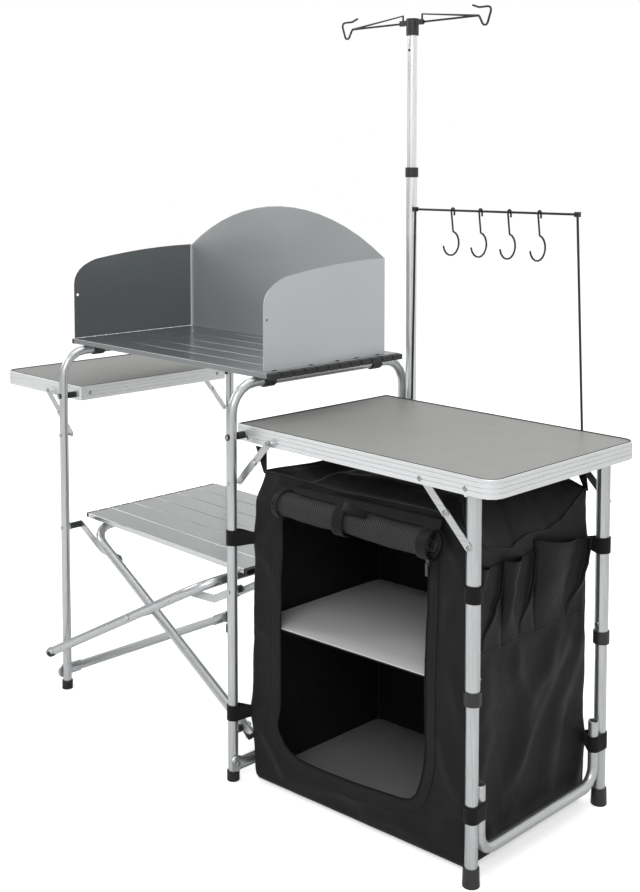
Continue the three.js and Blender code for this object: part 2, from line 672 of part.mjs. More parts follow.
function scissor(name, side, armY, extras) {
  const at = (x) => v3(side * x, 0, CROSS_HEIGHT + armRise * x);
  const tail = at(-FRAME_HALF_SPAN - SCISSOR_TAIL / armAlong);
  const top = at(scissorTopX);
  const corner = (p, y) => v3(p.x, y, p.z);
  const path = bentPath(
    [corner(tail, -armY), corner(top, -armY), corner(top, armY), corner(tail, armY)],
    FRAME_BEND_RADIUS,
  );
  let tube = sweep(path, FRAME_TUBE_RADIUS, tubeInner);
  const down = at(0).sub(at(1)).normalize();
  for (const s of [-1, 1]) {
    const end = corner(tail, s * armY);
    const plugStart = end.clone().addScaledVector(down, -FOOT_FLOOR);
    const plugEnd = end.clone().addScaledVector(down, FOOT_FLOOR);
    tube = join(tube, rod(plugStart, plugEnd, FRAME_TUBE_RADIUS + TUBE_WALL));
    const cuts = extras.holes.map((x) => {
      const p = at(x);
      return holeCutter(
        v3(p.x, s * (armY - 2 * FRAME_TUBE_RADIUS), p.z),
        v3(p.x, s * (armY + 2 * FRAME_TUBE_RADIUS), p.z),
        PIVOT_PIN_RADIUS + RUN_GAP,
      );
    });
    tube = cut(tube, ...cuts);
    if (extras.crossPin) {
      const pinEnd = outerArmY + FRAME_TUBE_RADIUS + SEAT_GAP;
      const spacerEnd = outerArmY - FRAME_TUBE_RADIUS - SEAT_GAP;
      const cross = (y) => v3(0, s * y, CROSS_HEIGHT);
      tube = join(
        tube,
        rod(cross(armY + tubeInner), cross(pinEnd), PIVOT_PIN_RADIUS, WIRE_SIDES),
        rod(cross(armY + spacerSeat), cross(spacerEnd), PIVOT_SPACER_RADIUS, WIRE_SIDES),
        rod(cross(pinEnd), cross(pinEnd + RIVET_HEIGHT), PIVOT_PIN_RADIUS + RIVET_HEIGHT, WIRE_SIDES),
      );
    }
    if (extras.linkPost) {
      const p = at(LINK_REACH_X);
      const post = (y) => v3(p.x, s * y, p.z);
      const postEnd = rightLinkY + LINK_THICKNESS + SEAT_GAP;
      tube = join(
        tube,
        rod(post(armY - tubeInner), post(postEnd), LINK_PIN_RADIUS, WIRE_SIDES),
        rivetY(p.x, s * (armY + FRAME_TUBE_RADIUS), p.z, s),
      );
    }
  }
  piece(name, tube, "aluminium");
}

// Lock links: flat stamped bars, hinged on a bolt in the frame's leg and ending beside the scissor
// tube that they hold.
function lockLink(name, frameSide, s) {
  const x0 = frameSide * FRAME_HALF_SPAN;
  const x1 = frameSide * LINK_REACH_X;
  const z1 = CROSS_HEIGHT + armRise * LINK_REACH_X;
  const linkY = frameSide < 0 ? leftLinkY : rightLinkY;
  const nearY = s > 0 ? linkY : -linkY - LINK_THICKNESS;
  const from = new THREE.Vector2(x0, LINK_LEG_HEIGHT);
  const to = new THREE.Vector2(x1, z1);
  const knee = to.clone().add(new THREE.Vector2(frameSide * LINK_KNEE_LENGTH, LINK_KNEE_RISE));
  const bar = join(
    strip(from, knee, LINK_WIDTH, nearY, nearY + LINK_THICKNESS),
    strip(knee, to, LINK_WIDTH, nearY, nearY + LINK_THICKNESS),
  );
  const bore = holeCutter(
    v3(x0, nearY - CUT_OVERRUN, LINK_LEG_HEIGHT),
    v3(x0, nearY + LINK_THICKNESS + CUT_OVERRUN, LINK_LEG_HEIGHT),
    LINK_PIN_RADIUS + RUN_GAP,
  );
  piece(name, cut(bar, bore), "aluminium");
}

// A flat bar with round ends between two points of the XZ plane.
function strip(from, to, width, nearY, farY) {
  const along = to.clone().sub(from);
  const turn = Math.atan2(along.y, along.x);
  const shape = new THREE.Shape();
  const r = width / 2;
  shape.absarc(from.x, from.y, r, turn + Math.PI / 2, turn + 1.5 * Math.PI);
  shape.absarc(to.x, to.y, r, turn - Math.PI / 2, turn + Math.PI / 2);
  return standing(shape, nearY, farY, 3);
}

// Slatted surfaces: channel slats that run along X, held at each end by a moulded strip. At each
// place in seats, a shallow line across the slats takes the foot of a windscreen leaf.
function slatDeck(name, x0, x1, depth, top, thickness, seats = []) {
  const pitch = depth / SLAT_COUNT;
  const half = (pitch - SLAT_SEAM) / 2;
  const under = top - thickness;
  const parts = [];
  for (let i = 0; i < SLAT_COUNT; i++) {
    const y = (i - (SLAT_COUNT - 1) / 2) * pitch;
    const profile = new THREE.Shape([
      new THREE.Vector2(y - half, under),
      new THREE.Vector2(y - half + SLAT_WALL, under),
      new THREE.Vector2(y - half + SLAT_WALL, top - SLAT_WALL),
      new THREE.Vector2(y - SLAT_WALL / 2, top - SLAT_WALL),
      new THREE.Vector2(y - SLAT_WALL / 2, under),
      new THREE.Vector2(y + SLAT_WALL / 2, under),
      new THREE.Vector2(y + SLAT_WALL / 2, top - SLAT_WALL),
      new THREE.Vector2(y + half - SLAT_WALL, top - SLAT_WALL),
      new THREE.Vector2(y + half - SLAT_WALL, under),
      new THREE.Vector2(y + half, under),
      new THREE.Vector2(y + half, top),
      new THREE.Vector2(y - half, top),
    ]);
    const run = x1 - x0 - END_STRIP_WIDTH;
    const bar = new THREE.ExtrudeGeometry(profile, { depth: run, bevelEnabled: false });
    // The profile's own axes are (Y, Z), and it is raised along X.
    const toWorld = new THREE.Matrix4().makeBasis(v3(0, 1, 0), v3(0, 0, 1), v3(1, 0, 0));
    let slat = solid(bar.applyMatrix4(toWorld).translate(x0 + END_STRIP_WIDTH / 2, 0, 0));
    for (const x of seats) {
      const reach = SCREEN_SHEET / 2 + SCREEN_SEAT_CLEARANCE;
      const seat = block(
        v3(x - reach, y - pitch / 2, top - SCREEN_SEAT_DEPTH),
        v3(x + reach, y + pitch / 2, top + CUT_OVERRUN),
      );
      slat = cut(slat, seat);
    }
    parts.push(slat);
  }
  const stripTop = top - SLAT_WALL / 2;
  for (const [a, b, outer] of [[x0, x0 + END_STRIP_WIDTH, x0], [x1 - END_STRIP_WIDTH, x1, x1]]) {
    let bar = block(v3(a, -depth / 2, under - SLAT_WALL), v3(b, depth / 2, stripTop));
    for (let i = 1; i < END_STRIP_SEGMENTS; i++) {
      const y = depth * (i / END_STRIP_SEGMENTS - 0.5);
      const notch = block(
        v3(outer - END_STRIP_NOTCH, y - SLAT_SEAM, under - CUT_OVERRUN),
        v3(outer + END_STRIP_NOTCH, y + SLAT_SEAM, stripTop - SLAT_WALL),
      );
      bar = cut(bar, notch);
    }
    parts.push(bar);
  }
  piece(name, join(...parts), "slat");
}

// Windscreen: three sheet leaves. The side leaves turn on pins at the rear corners.
const screenBase = TOP_HEIGHT + SEAT_GAP;
const rearSheetY = SCREEN_REAR_Y + SCREEN_HINGE_OFFSET - SCREEN_SHEET / 2;

function windscreenRear() {
  const left = -SCREEN_LEFT;
  const right = SCREEN_RIGHT;
  const middle = (left + right) / 2;
  const side = screenBase + SCREEN_SIDE_HEIGHT;
  const peak = screenBase + SCREEN_ARCH_HEIGHT;
  const shape = new THREE.Shape();
  shape.moveTo(left, screenBase);
  shape.lineTo(right, screenBase);
  shape.lineTo(right, side);
  // The arch is one circle through both shoulders and the peak.
  const rise = peak - side;
  const halfWidth = (right - left) / 2;
  const radius = (rise * rise + halfWidth * halfWidth) / (2 * rise);
  const swing = Math.asin(halfWidth / radius);
  shape.absarc(middle, peak - radius, radius, Math.PI / 2 - swing, Math.PI / 2 + swing);
  let sheet = standing(shape, rearSheetY, rearSheetY + SCREEN_SHEET, 8);
  for (const x of [left, right]) {
    const pin = rod(
      v3(x, SCREEN_REAR_Y, screenBase),
      v3(x, SCREEN_REAR_Y, side - SCREEN_SHEET),
      SCREEN_HINGE_RADIUS,
      WIRE_SIDES,
    );
    sheet = join(sheet, pin);
  }
  piece("windscreen_rear", sheet, "sheet");
}

function windscreenSide(name, side) {
  const hingeX = side < 0 ? -SCREEN_LEFT : SCREEN_RIGHT;
  const length = SCREEN_FRONT_Y + SCREEN_REAR_Y;
  const near = SCREEN_HINGE_RADIUS;
  const shape = new THREE.Shape();
  // Drawn with the distance forward from the hinge as its first axis and height as its second.
  shape.moveTo(near, 0);
  shape.lineTo(length, 0);
  shape.lineTo(length, SCREEN_FRONT_HEIGHT);
  const rise = SCREEN_SIDE_HEIGHT - SCREEN_FRONT_HEIGHT;
  const shoulder = length - SCREEN_CORNER_LENGTH;
  const shoulderTop = SCREEN_FRONT_HEIGHT + rise * SCREEN_SHOULDER_SHARE;
  shape.quadraticCurveTo(length, SCREEN_FRONT_HEIGHT + rise / 2, shoulder, shoulderTop);
  shape.quadraticCurveTo(shoulder / 2 + near, SCREEN_SIDE_HEIGHT, near, SCREEN_SIDE_HEIGHT);
  const hole = new THREE.Path(ring(SCREEN_HOLE_RADIUS, WIRE_SIDES).map((p) => {
    return p.add(new THREE.Vector2(length - SCREEN_HOLE_INSET, SCREEN_HOLE_HEIGHT));
  }));
  shape.holes.push(hole);
  const geometry = new THREE.ExtrudeGeometry(shape, {
    depth: SCREEN_SHEET,
    bevelEnabled: false,
    curveSegments: 6,
  });
  // First axis to -Y, second to +Z, thickness to -X.
  geometry.applyMatrix4(new THREE.Matrix4().makeBasis(v3(0, -1, 0), v3(0, 0, 1), v3(-1, 0, 0)));
  const outer = hingeX + side * SCREEN_HINGE_OFFSET + SCREEN_SHEET / 2;
  geometry.translate(outer, SCREEN_REAR_Y, screenBase);
  piece(name, solid(geometry), "sheet");
}

// Side tables: a laminate board in a ring of extruded aluminium edging with three fine grooves.
function tableTop(name, x0, x1, radii, extras) {
  const top = TABLE_HEIGHT;
  const bottom = top - APRON_HEIGHT;
  const inset = (d) => outline(
    x0 + d,
    -tableHalf + d,
    x1 - d,
    tableHalf - d,
    radii.map((r) => Math.max(r - d, SEAT_GAP)),
  );
  const hollow = (d, low, high) => plate(inset(d), low, high);
  let apron = cut(
    hollow(0, bottom, top),
    hollow(APRON_WALL, bottom - CUT_OVERRUN, top + CUT_OVERRUN),
  );
  for (const share of APRON_GROOVE_SHARES) {
    const z = bottom + share * APRON_HEIGHT;
    const band = cut(
      hollow(-APRON_WALL, z - APRON_GROOVE_HEIGHT / 2, z + APRON_GROOVE_HEIGHT / 2),
      hollow(APRON_GROOVE, z - APRON_GROOVE_HEIGHT, z + APRON_GROOVE_HEIGHT),
    );
    apron = cut(apron, band);
  }
  const ledgeTop = top - BOARD_SET_DOWN - BOARD_THICKNESS - SEAT_GAP;
  const ledge = cut(
    hollow(APRON_WALL / 2, ledgeTop - LEDGE_THICKNESS, ledgeTop),
    hollow(APRON_WALL + LEDGE_WIDTH, ledgeTop - 2 * LEDGE_THICKNESS, ledgeTop + LEDGE_THICKNESS),
  );
  apron = join(apron, ledge);
  if (extras.cuts.length) apron = cut(apron, ...extras.cuts);
  if (extras.joins.length) apron = join(apron, ...extras.joins);
  piece(`${name}_table_apron`, apron, "aluminium");
  const board = hollow(APRON_WALL + SEAT_GAP, top - BOARD_SET_DOWN - BOARD_THICKNESS, top - BOARD_SET_DOWN);
  piece(`${name}_table_board`, board, "laminate");
}

// Table pivots: a bolt through each leg into the table's edging, with a spacer between them.
function tablePivot(name, side, s) {
  const x = side * FRAME_HALF_SPAN;
  const at = (y) => v3(x, s * y, TABLE_PIVOT_HEIGHT);
  const inside = tableHalf - APRON_WALL - SEAT_GAP;
  const bolt = join(
    rod(at(inside - BOLT_HEAD_HEIGHT), at(inside), BOLT_HEAD_RADIUS, WIRE_SIDES),
    rod(at(inside - BOLT_HEAD_HEIGHT), at(legOuter + SEAT_GAP), TABLE_PIVOT_RADIUS, WIRE_SIDES),
    rod(at(tableHalf + SEAT_GAP), at(legInner - SEAT_GAP), PIVOT_SPACER_RADIUS, WIRE_SIDES),
    rod(
      at(legOuter + SEAT_GAP),
      at(legOuter + SEAT_GAP + BOLT_HEAD_HEIGHT),
      BOLT_HEAD_RADIUS,
      WIRE_SIDES,
    ),
  );
  piece(name, bolt, "plastic");
}

const pivotHole = (side, s) => holeCutter(
  v3(side * FRAME_HALF_SPAN, s * (tableHalf - 2 * APRON_WALL), TABLE_PIVOT_HEIGHT),
  v3(side * FRAME_HALF_SPAN, s * (tableHalf + CUT_OVERRUN), TABLE_PIVOT_HEIGHT),
  TABLE_PIVOT_RADIUS + SEAT_GAP,
);

// A stay's link: a flat bar with a hole at its pinned end and a rivet at its knuckle end.
function stayLink(from, to, y, s, pinned) {
  const nearY = s > 0 ? y : -y - STAY_THICKNESS;
  const bar = strip(from, to, STAY_WIDTH, nearY, nearY + STAY_THICKNESS);
  if (!pinned) return bar;
  const bore = holeCutter(
    v3(from.x, nearY - CUT_OVERRUN, from.y),
    v3(from.x, nearY + STAY_THICKNESS + CUT_OVERRUN, from.y),
    STAY_PIN_RADIUS + RUN_GAP,
  );
  return cut(bar, bore);
}

// The pin that carries a stay's link on a table's edging.
function apronPin(x, s, fromY, toY) {
  const at = (y) => v3(x, s * y, STAY_APRON_HEIGHT);
  return rod(at(fromY), at(toY), STAY_PIN_RADIUS, WIRE_SIDES);
}

const leftApronPinX = -FRAME_HALF_SPAN - LEFT_STAY_REACH;
const rightApronPinX = FRAME_HALF_SPAN + RIGHT_STAY_REACH;
const legApronPinX = LEG_X - LEG_STAY_REACH;
const middleOf = (a, b) => a.clone().add(b).multiplyScalar(0.5);

function leftStays() {
  const a = new THREE.Vector2(leftApronPinX, STAY_APRON_HEIGHT);
  const b = new THREE.Vector2(-FRAME_HALF_SPAN, stayPinHeight);
  const knuckle = middleOf(a, b);
  for (const [s, end] of [[-1, "front"], [1, "rear"]]) {
    piece(`left_stay_upper_${end}`, stayLink(a, knuckle, stayInnerY, s, true), "aluminium");
    piece(`left_stay_lower_${end}`, stayLink(b, knuckle, stayOuterY, s, true), "aluminium");
  }
}

function rightTableStays() {
  const a = new THREE.Vector2(rightApronPinX, STAY_APRON_HEIGHT);
  const b = new THREE.Vector2(FRAME_HALF_SPAN, stayPinHeight);
  const knuckle = middleOf(a, b);
  for (const [s, end] of [[-1, "front"], [1, "rear"]]) {
    const upper = stayLink(a, knuckle, stayInnerY, s, true);
    const lower = stayLink(b, knuckle, stayOuterY, s, true);
    const rivet = rod(
      v3(knuckle.x, s * stayInnerY, knuckle.y),
      v3(knuckle.x, s * (stayOuterY + STAY_THICKNESS + RIVET_HEIGHT), knuckle.y),
      RIVET_RADIUS,
      WIRE_SIDES,
    );
    piece(`right_table_stay_${end}`, join(upper, lower, rivet), "aluminium");
  }
}

// Right-hand legs: an upper tube hinged under the table, a thinner tube that telescopes in it, and
// a bent rail that ties the two lower tubes together.
const legStayPinZ = LEG_PIVOT_Z - STAY_LEG_DROP + RUN_GAP;
const legLinkY = LEG_HALF_DEPTH + LEG_UPPER_RADIUS + SEAT_GAP;
const legUpperLinkY = legLinkY + STAY_THICKNESS + SEAT_GAP;

function rightLegs() {
  for (const [s, end] of [[-1, "front"], [1, "rear"]]) {
    const y = s * LEG_HALF_DEPTH;
    const upperTop = LEG_PIVOT_Z + LEG_TOP_EXTENSION;
    let upper = rod(
      v3(LEG_X, y, LEG_UPPER_BOTTOM),
      v3(LEG_X, y, upperTop),
      LEG_UPPER_RADIUS,
      TUBE_SIDES,
      LEG_UPPER_RADIUS - LEG_WALL,
    );
    const collar = rod(
      v3(LEG_X, y, LEG_UPPER_BOTTOM - LEG_COLLAR_HEIGHT / 2),
      v3(LEG_X, y, LEG_UPPER_BOTTOM + LEG_COLLAR_HEIGHT / 2),
      LEG_COLLAR_RADIUS,
    );
    const slip = holeCutter(
      v3(LEG_X, y, LEG_UPPER_BOTTOM - LEG_COLLAR_HEIGHT),
      v3(LEG_X, y, LEG_UPPER_BOTTOM + LEG_COLLAR_HEIGHT),
      LEG_LOWER_RADIUS + RUN_GAP / 2,
      TUBE_SIDES,
    );
    const stayPin = rod(
      v3(LEG_X, s * (LEG_HALF_DEPTH + LEG_UPPER_RADIUS - LEG_WALL), legStayPinZ),
      v3(LEG_X, s * (legLinkY + STAY_THICKNESS), legStayPinZ),
      STAY_PIN_RADIUS,
      WIRE_SIDES,
    );
    const pivot = holeCutter(
      v3(LEG_X, s * (LEG_HALF_DEPTH - 2 * LEG_UPPER_RADIUS), LEG_PIVOT_Z),
      v3(LEG_X, s * (LEG_HALF_DEPTH + 2 * LEG_UPPER_RADIUS), LEG_PIVOT_Z),
      LEG_PIVOT_PIN_RADIUS + RUN_GAP,
    );
    // The spring button stands out of its hole on the leg's inner side.
    const buttonHole = holeCutter(
      v3(LEG_X, y, LEG_BUTTON_HEIGHT),
      v3(LEG_X, y - s * 2 * LEG_UPPER_RADIUS, LEG_BUTTON_HEIGHT),
      BUTTON_RADIUS + RUN_GAP / 2,
      TUBE_SIDES,
    );
    upper = cut(join(upper, cut(collar, slip), stayPin), pivot, buttonHole);
    piece(`right_leg_upper_${end}`, upper, "aluminium");
    const lower = rod(
      v3(LEG_X, y, FOOT_FLOOR),
      v3(LEG_X, y, LEG_LOWER_TOP),
      LEG_LOWER_RADIUS,
      TUBE_SIDES,
      LEG_LOWER_RADIUS - LEG_WALL,
    );
    const bootProfile = [
      [0, 0],
      [LEG_FOOT_RADIUS, 0],
      [LEG_FOOT_RADIUS - LEG_WALL, LEG_FOOT_HEIGHT],
      [LEG_LOWER_RADIUS - LEG_WALL / 2, LEG_FOOT_HEIGHT],
      [LEG_LOWER_RADIUS - LEG_WALL / 2, FOOT_FLOOR],
      [0, FOOT_FLOOR],
    ].map(([r, z]) => new THREE.Vector2(r, z));
    const boot = new THREE.LatheGeometry(bootProfile, TUBE_SIDES);
    boot.rotateX(Math.PI / 2);
    boot.translate(LEG_X, y, 0);
    piece(`right_leg_lower_${end}`, cut(join(lower, solid(boot)), buttonHole), "aluminium");
    const face = LEG_HALF_DEPTH - LEG_UPPER_RADIUS;
    const button = rod(
      v3(LEG_X, s * (face + RUN_GAP), LEG_BUTTON_HEIGHT),
      v3(LEG_X, s * (face - BUTTON_STAND), LEG_BUTTON_HEIGHT),
      BUTTON_RADIUS,
    );
    piece(`right_leg_button_${end}`, button, "aluminium");
  }
  legRail();
  legStays();
}

function legRail() {
  const armY = LEG_HALF_DEPTH - LEG_LOWER_RADIUS - SEAT_GAP - LEG_RAIL_RADIUS;
  const path = bentPath(
    [
      v3(LEG_X, -armY, LEG_RAIL_TOP),
      v3(LEG_X, -armY, LEG_RAIL_HEIGHT),
      v3(LEG_X, armY, LEG_RAIL_HEIGHT),
      v3(LEG_X, armY, LEG_RAIL_TOP),
    ],
    LEG_RAIL_BEND,
  );
  piece("right_leg_rail", sweep(path, LEG_RAIL_RADIUS, LEG_RAIL_RADIUS - TUBE_WALL), "aluminium");
}

function legStays() {
  const a = new THREE.Vector2(legApronPinX, STAY_APRON_HEIGHT);
  const b = new THREE.Vector2(LEG_X, legStayPinZ);
  const knuckle = middleOf(a, b);
  for (const [s, end] of [[-1, "front"], [1, "rear"]]) {
    piece(`right_leg_stay_upper_${end}`, stayLink(a, knuckle, legUpperLinkY, s, true), "aluminium");
    piece(`right_leg_stay_lower_${end}`, stayLink(b, knuckle, legLinkY, s, true), "aluminium");
  }
}

// Lantern pole: two telescoping tubes clamped beside the rear-right leg, and a hub with two wire
// arms that end in hooks.
function lantern() {
  const y = FRAME_HALF_DEPTH;
  const on = (z, dx = 0) => v3(POLE_X + dx, y, z);
  const lowerInner = POLE_LOWER_RADIUS - LEG_WALL;
  const poleButtonHeight = POLE_TOP - POLE_BUTTON_DROP;
  const lower = join(
    rod(on(POLE_BOTTOM), on(POLE_LOWER_TOP), POLE_LOWER_RADIUS, TUBE_SIDES, lowerInner),
    cut(
      rod(on(POLE_LOWER_TOP - POLE_COLLAR_HEIGHT), on(POLE_LOWER_TOP), POLE_COLLAR_RADIUS),
      rod(
        on(POLE_LOWER_TOP - 2 * POLE_COLLAR_HEIGHT),
        on(POLE_LOWER_TOP + CUT_OVERRUN),
        lowerInner,
      ),
    ),
  );
  piece("lantern_pole_lower", lower, "aluminium");
  const clampLow = CLAMP_BOTTOM;
  const clampHigh = CLAMP_BOTTOM + CLAMP_HEIGHT;
  const clampReach = POLE_LOWER_RADIUS + CLAMP_WALL;
  const body = plate(
    outline(
      FRAME_HALF_SPAN - clampReach,
      y - clampReach,
      POLE_X + clampReach,
      y + clampReach,
      CLAMP_CORNER_SHARES.map((share) => share * clampReach),
    ),
    clampLow,
    clampHigh,
    3,
  );
  const clampHoles = [[FRAME_HALF_SPAN, FRAME_TUBE_RADIUS], [POLE_X, POLE_LOWER_RADIUS]].map(([x, r]) => {
    return holeCutter(
      v3(x, y, clampLow - CUT_OVERRUN),
      v3(x, y, clampHigh + CUT_OVERRUN),
      r + SEAT_GAP,
      TUBE_SIDES,
    );
  });
  piece("lantern_clamp", cut(body, ...clampHoles), "plastic");
  const tube = rod(
    on(POLE_LOWER_TOP - POLE_OVERLAP),
    on(POLE_TOP),
    POLE_UPPER_RADIUS,
    TUBE_SIDES,
    POLE_UPPER_RADIUS - LEG_WALL,
  );
  const hubLow = POLE_TOP - HUB_HEIGHT / 4;
  let hub = rod(on(hubLow), on(hubLow + HUB_HEIGHT), HUB_RADIUS);
  for (const s of [-1, 1]) {
    const ear = block(
      v3(
        POLE_X + Math.min(0, s * (ARM_PIVOT_X + ARM_EYE_RADIUS)),
        y - ARM_WIRE_RADIUS - SEAT_GAP - HUB_EAR_THICKNESS,
        ARM_PIVOT_HEIGHT - ARM_EYE_RADIUS,
      ),
      v3(
        POLE_X + Math.max(0, s * (ARM_PIVOT_X + ARM_EYE_RADIUS)),
        y - ARM_WIRE_RADIUS - SEAT_GAP,
        ARM_PIVOT_HEIGHT + ARM_EYE_RADIUS,
      ),
    );
    const pin = rod(
      v3(POLE_X + s * ARM_PIVOT_X, y - ARM_WIRE_RADIUS - HUB_EAR_THICKNESS, ARM_PIVOT_HEIGHT),
      v3(POLE_X + s * ARM_PIVOT_X, y + ARM_WIRE_RADIUS + RIVET_HEIGHT, ARM_PIVOT_HEIGHT),
      ARM_PIN_RADIUS,
      WIRE_SIDES,
    );
    hub = join(hub, ear, pin);
  }
  const buttonHole = holeCutter(
    on(poleButtonHeight),
    v3(POLE_X, y - 2 * POLE_UPPER_RADIUS, poleButtonHeight),
    BUTTON_RADIUS / 2 + RUN_GAP,
  );
  piece("lantern_pole_upper", cut(join(tube, hub), buttonHole), "aluminium");
  piece(
    "lantern_button",
    rod(
      on(poleButtonHeight),
      v3(POLE_X, y - POLE_UPPER_RADIUS - BUTTON_STAND / 2, poleButtonHeight),
      BUTTON_RADIUS / 2,
      WIRE_SIDES,
    ),
    "plastic",
  );
  lanternArm("lantern_arm_left", -1);
  lanternArm("lantern_arm_right", 1);
}

// An arm: one bent wire that leaves an eye on the hub, dips into a hook at its far end and turns
// back over itself to an upturned tip.
function lanternArm(name, side) {
  const eyeX = POLE_X + side * ARM_PIVOT_X;
  const out = (d, h) => v3(eyeX + side * d, FRAME_HALF_DEPTH, ARM_PIVOT_HEIGHT + h);
  const reach = ARM_REACH - ARM_PIVOT_X;
  const path = bentPath(
    [
      out(ARM_EYE_RADIUS - ARM_WIRE_RADIUS, 0),
      out(reach - 2 * ARM_HOOK_RISE, 0),
      out(reach - ARM_HOOK_RISE, -ARM_HOOK_DROP),
      out(reach, ARM_HOOK_RISE),
      out(reach - 2 * ARM_HOOK_RISE, ARM_HOOK_RISE),
      out(reach - 3 * ARM_HOOK_RISE, ARM_HOOK_RISE + ARM_EYE_RADIUS),
    ],
    ARM_BEND_RADIUS,
    ARM_BEND_STEPS,
  );
  const wire = sweep(path, ARM_WIRE_RADIUS, 0, WIRE_SIDES);
  const eye = cut(
    rod(
      v3(eyeX, FRAME_HALF_DEPTH - ARM_WIRE_RADIUS, ARM_PIVOT_HEIGHT),
      v3(eyeX, FRAME_HALF_DEPTH + ARM_WIRE_RADIUS, ARM_PIVOT_HEIGHT),
      ARM_EYE_RADIUS,
    ),
    holeCutter(
      v3(eyeX, FRAME_HALF_DEPTH - CUT_OVERRUN, ARM_PIVOT_HEIGHT),
      v3(eyeX, FRAME_HALF_DEPTH + CUT_OVERRUN, ARM_PIVOT_HEIGHT),
      ARM_PIN_RADIUS + RUN_GAP,
    ),
  );
  const brace = new StationPath([
    out(0, ARM_EYE_RADIUS - ARM_WIRE_RADIUS),
    out(0, ARM_HOOK_RISE),
    out(reach - 2 * ARM_HOOK_RISE, 0),
  ]);
  piece(name, join(wire, eye, sweep(brace, ARM_WIRE_RADIUS, 0, WIRE_SIDES)), "wire");
}

// Hook rail: two posts and a bar of thin rod with elbow connectors, clipped to the rear edging of
// the right-hand table.
function hookRail() {
  const y = RAIL_PLANE_Y;
  const top = (x) => v3(x, y, RAIL_TOP_HEIGHT);
  const posts = [
    [RAIL_FOOT_LEFT, RAIL_FOOT_LEFT + RAIL_LEAN_LEFT],
    [RAIL_FOOT_RIGHT, RAIL_FOOT_RIGHT - RAIL_LEAN_RIGHT],
  ];
  const rods = [rod(top(posts[0][1]), top(posts[1][1]), RAIL_ROD_RADIUS, WIRE_SIDES)];
  for (const [foot, head] of posts) {
    rods.push(rod(v3(foot, y, RAIL_BOTTOM), top(head), RAIL_ROD_RADIUS, WIRE_SIDES));
    const half = RAIL_ELBOW_SIZE / 2;
    rods.push(block(
      v3(head - half, y - half, RAIL_TOP_HEIGHT - half),
      v3(head + half, y + half, RAIL_TOP_HEIGHT + half),
    ));
    rods.push(block(
      v3(foot - RAIL_CLIP_WIDTH / 2, tableHalf + SEAT_GAP, RAIL_BOTTOM),
      v3(foot + RAIL_CLIP_WIDTH / 2, y + 2 * RAIL_ROD_RADIUS, RAIL_BOTTOM + RAIL_CLIP_HEIGHT),
    ));
  }
  piece("hook_rail", join(...rods), "wire");
}

// S-hooks: each hangs on the bar by a small crook, with a short shank and an open round bowl.
function sHook(name, x) {
  const crook = RAIL_ROD_RADIUS + SEAT_GAP + HOOK_WIRE_RADIUS;
  const stations = [];
  const put = (y, z) => stations.push(v3(x, RAIL_PLANE_Y + y, RAIL_TOP_HEIGHT + z));
  put(crook, -HOOK_BACK_LEG);
  for (let i = 0; i <= HOOK_CROOK_STEPS; i++) {
    const a = (Math.PI * i) / HOOK_CROOK_STEPS;
    put(crook * Math.cos(a), crook * Math.sin(a));
  }
  // The shank drops to the bowl, which swells to the rear and comes forward to the tip.
  for (let i = 0; i <= HOOK_BOWL_STEPS; i++) {
    const a = Math.PI * (HOOK_BOWL_START_SHARE - (HOOK_BOWL_TURN_SHARE * i) / HOOK_BOWL_STEPS);
    put(-crook + HOOK_BOWL_RADIUS * Math.cos(a), -HOOK_DROP + HOOK_BOWL_RADIUS * Math.sin(a));
  }
  piece(name, sweep(new StationPath(stations), HOOK_WIRE_RADIUS, 0, WIRE_SIDES), "wire");
}

// Soft cupboard: a fabric shell with a wide front opening, two shelf boards, a door rolled up and
// tied at the top of the opening, and straps round the four legs.
const bagEdge = (left, right) => (x) => {
  return left + ((right - left) * (x - BAG_LEFT)) / (BAG_RIGHT - BAG_LEFT);
};
const bagFrontAt = bagEdge(BAG_LEFT_FRONT, BAG_RIGHT_FRONT);
const bagRearAt = bagEdge(BAG_LEFT_REAR, BAG_RIGHT_REAR);

function bagPlan(inset) {
  const x0 = BAG_LEFT + inset;
  const x1 = BAG_RIGHT - inset;
  const c = Math.max(BAG_CORNER - inset, SEAT_GAP);
  const front = (x) => bagFrontAt(x) + inset;
  const rear = (x) => bagRearAt(x) - inset;
  const shape = new THREE.Shape();
  shape.moveTo(x0 + c, front(x0 + c));
  shape.lineTo(x1 - c, front(x1 - c));
  shape.quadraticCurveTo(x1, front(x1), x1, front(x1) + c);
  shape.lineTo(x1, rear(x1) - c);
  shape.quadraticCurveTo(x1, rear(x1), x1 - c, rear(x1 - c));
  shape.lineTo(x0 + c, rear(x0 + c));
  shape.quadraticCurveTo(x0, rear(x0), x0, rear(x0) - c);
  shape.lineTo(x0, front(x0) + c);
  shape.quadraticCurveTo(x0, front(x0), x0 + c, front(x0 + c));
  return shape;
}

// A strap round a leg, closed with a tab to the shell. With a wrap, it goes round a second tube too,
// which stands that far along Y beside the leg.
function strapLoop(x, y, z, radius, towards, wrap = 0) {
  const band = (r, low, high) => plate(
    outline(
      x - r,
      y - r + Math.min(wrap, 0),
      x + r,
      y + r + Math.max(wrap, 0),
      STRAP_CORNER_SHARES.map((share) => share * r),
    ),
    low,
    high,
  );
  const inner = radius + SEAT_GAP;
  const low = z - STRAP_WIDTH / 2;
  const high = z + STRAP_WIDTH / 2;
  const way = towards.clone().sub(new THREE.Vector2(x, y));
  const reach = way.length();
  const tab = new THREE.BoxGeometry(reach, STRAP_THICKNESS, STRAP_WIDTH);
  tab.translate(reach / 2, 0, 0);
  tab.rotateZ(Math.atan2(way.y, way.x));
  tab.translate(x, y, z);
  return cut(
    join(band(inner + STRAP_THICKNESS, low, high), solid(tab)),
    band(inner, low - CUT_OVERRUN, high + CUT_OVERRUN),
  );
}

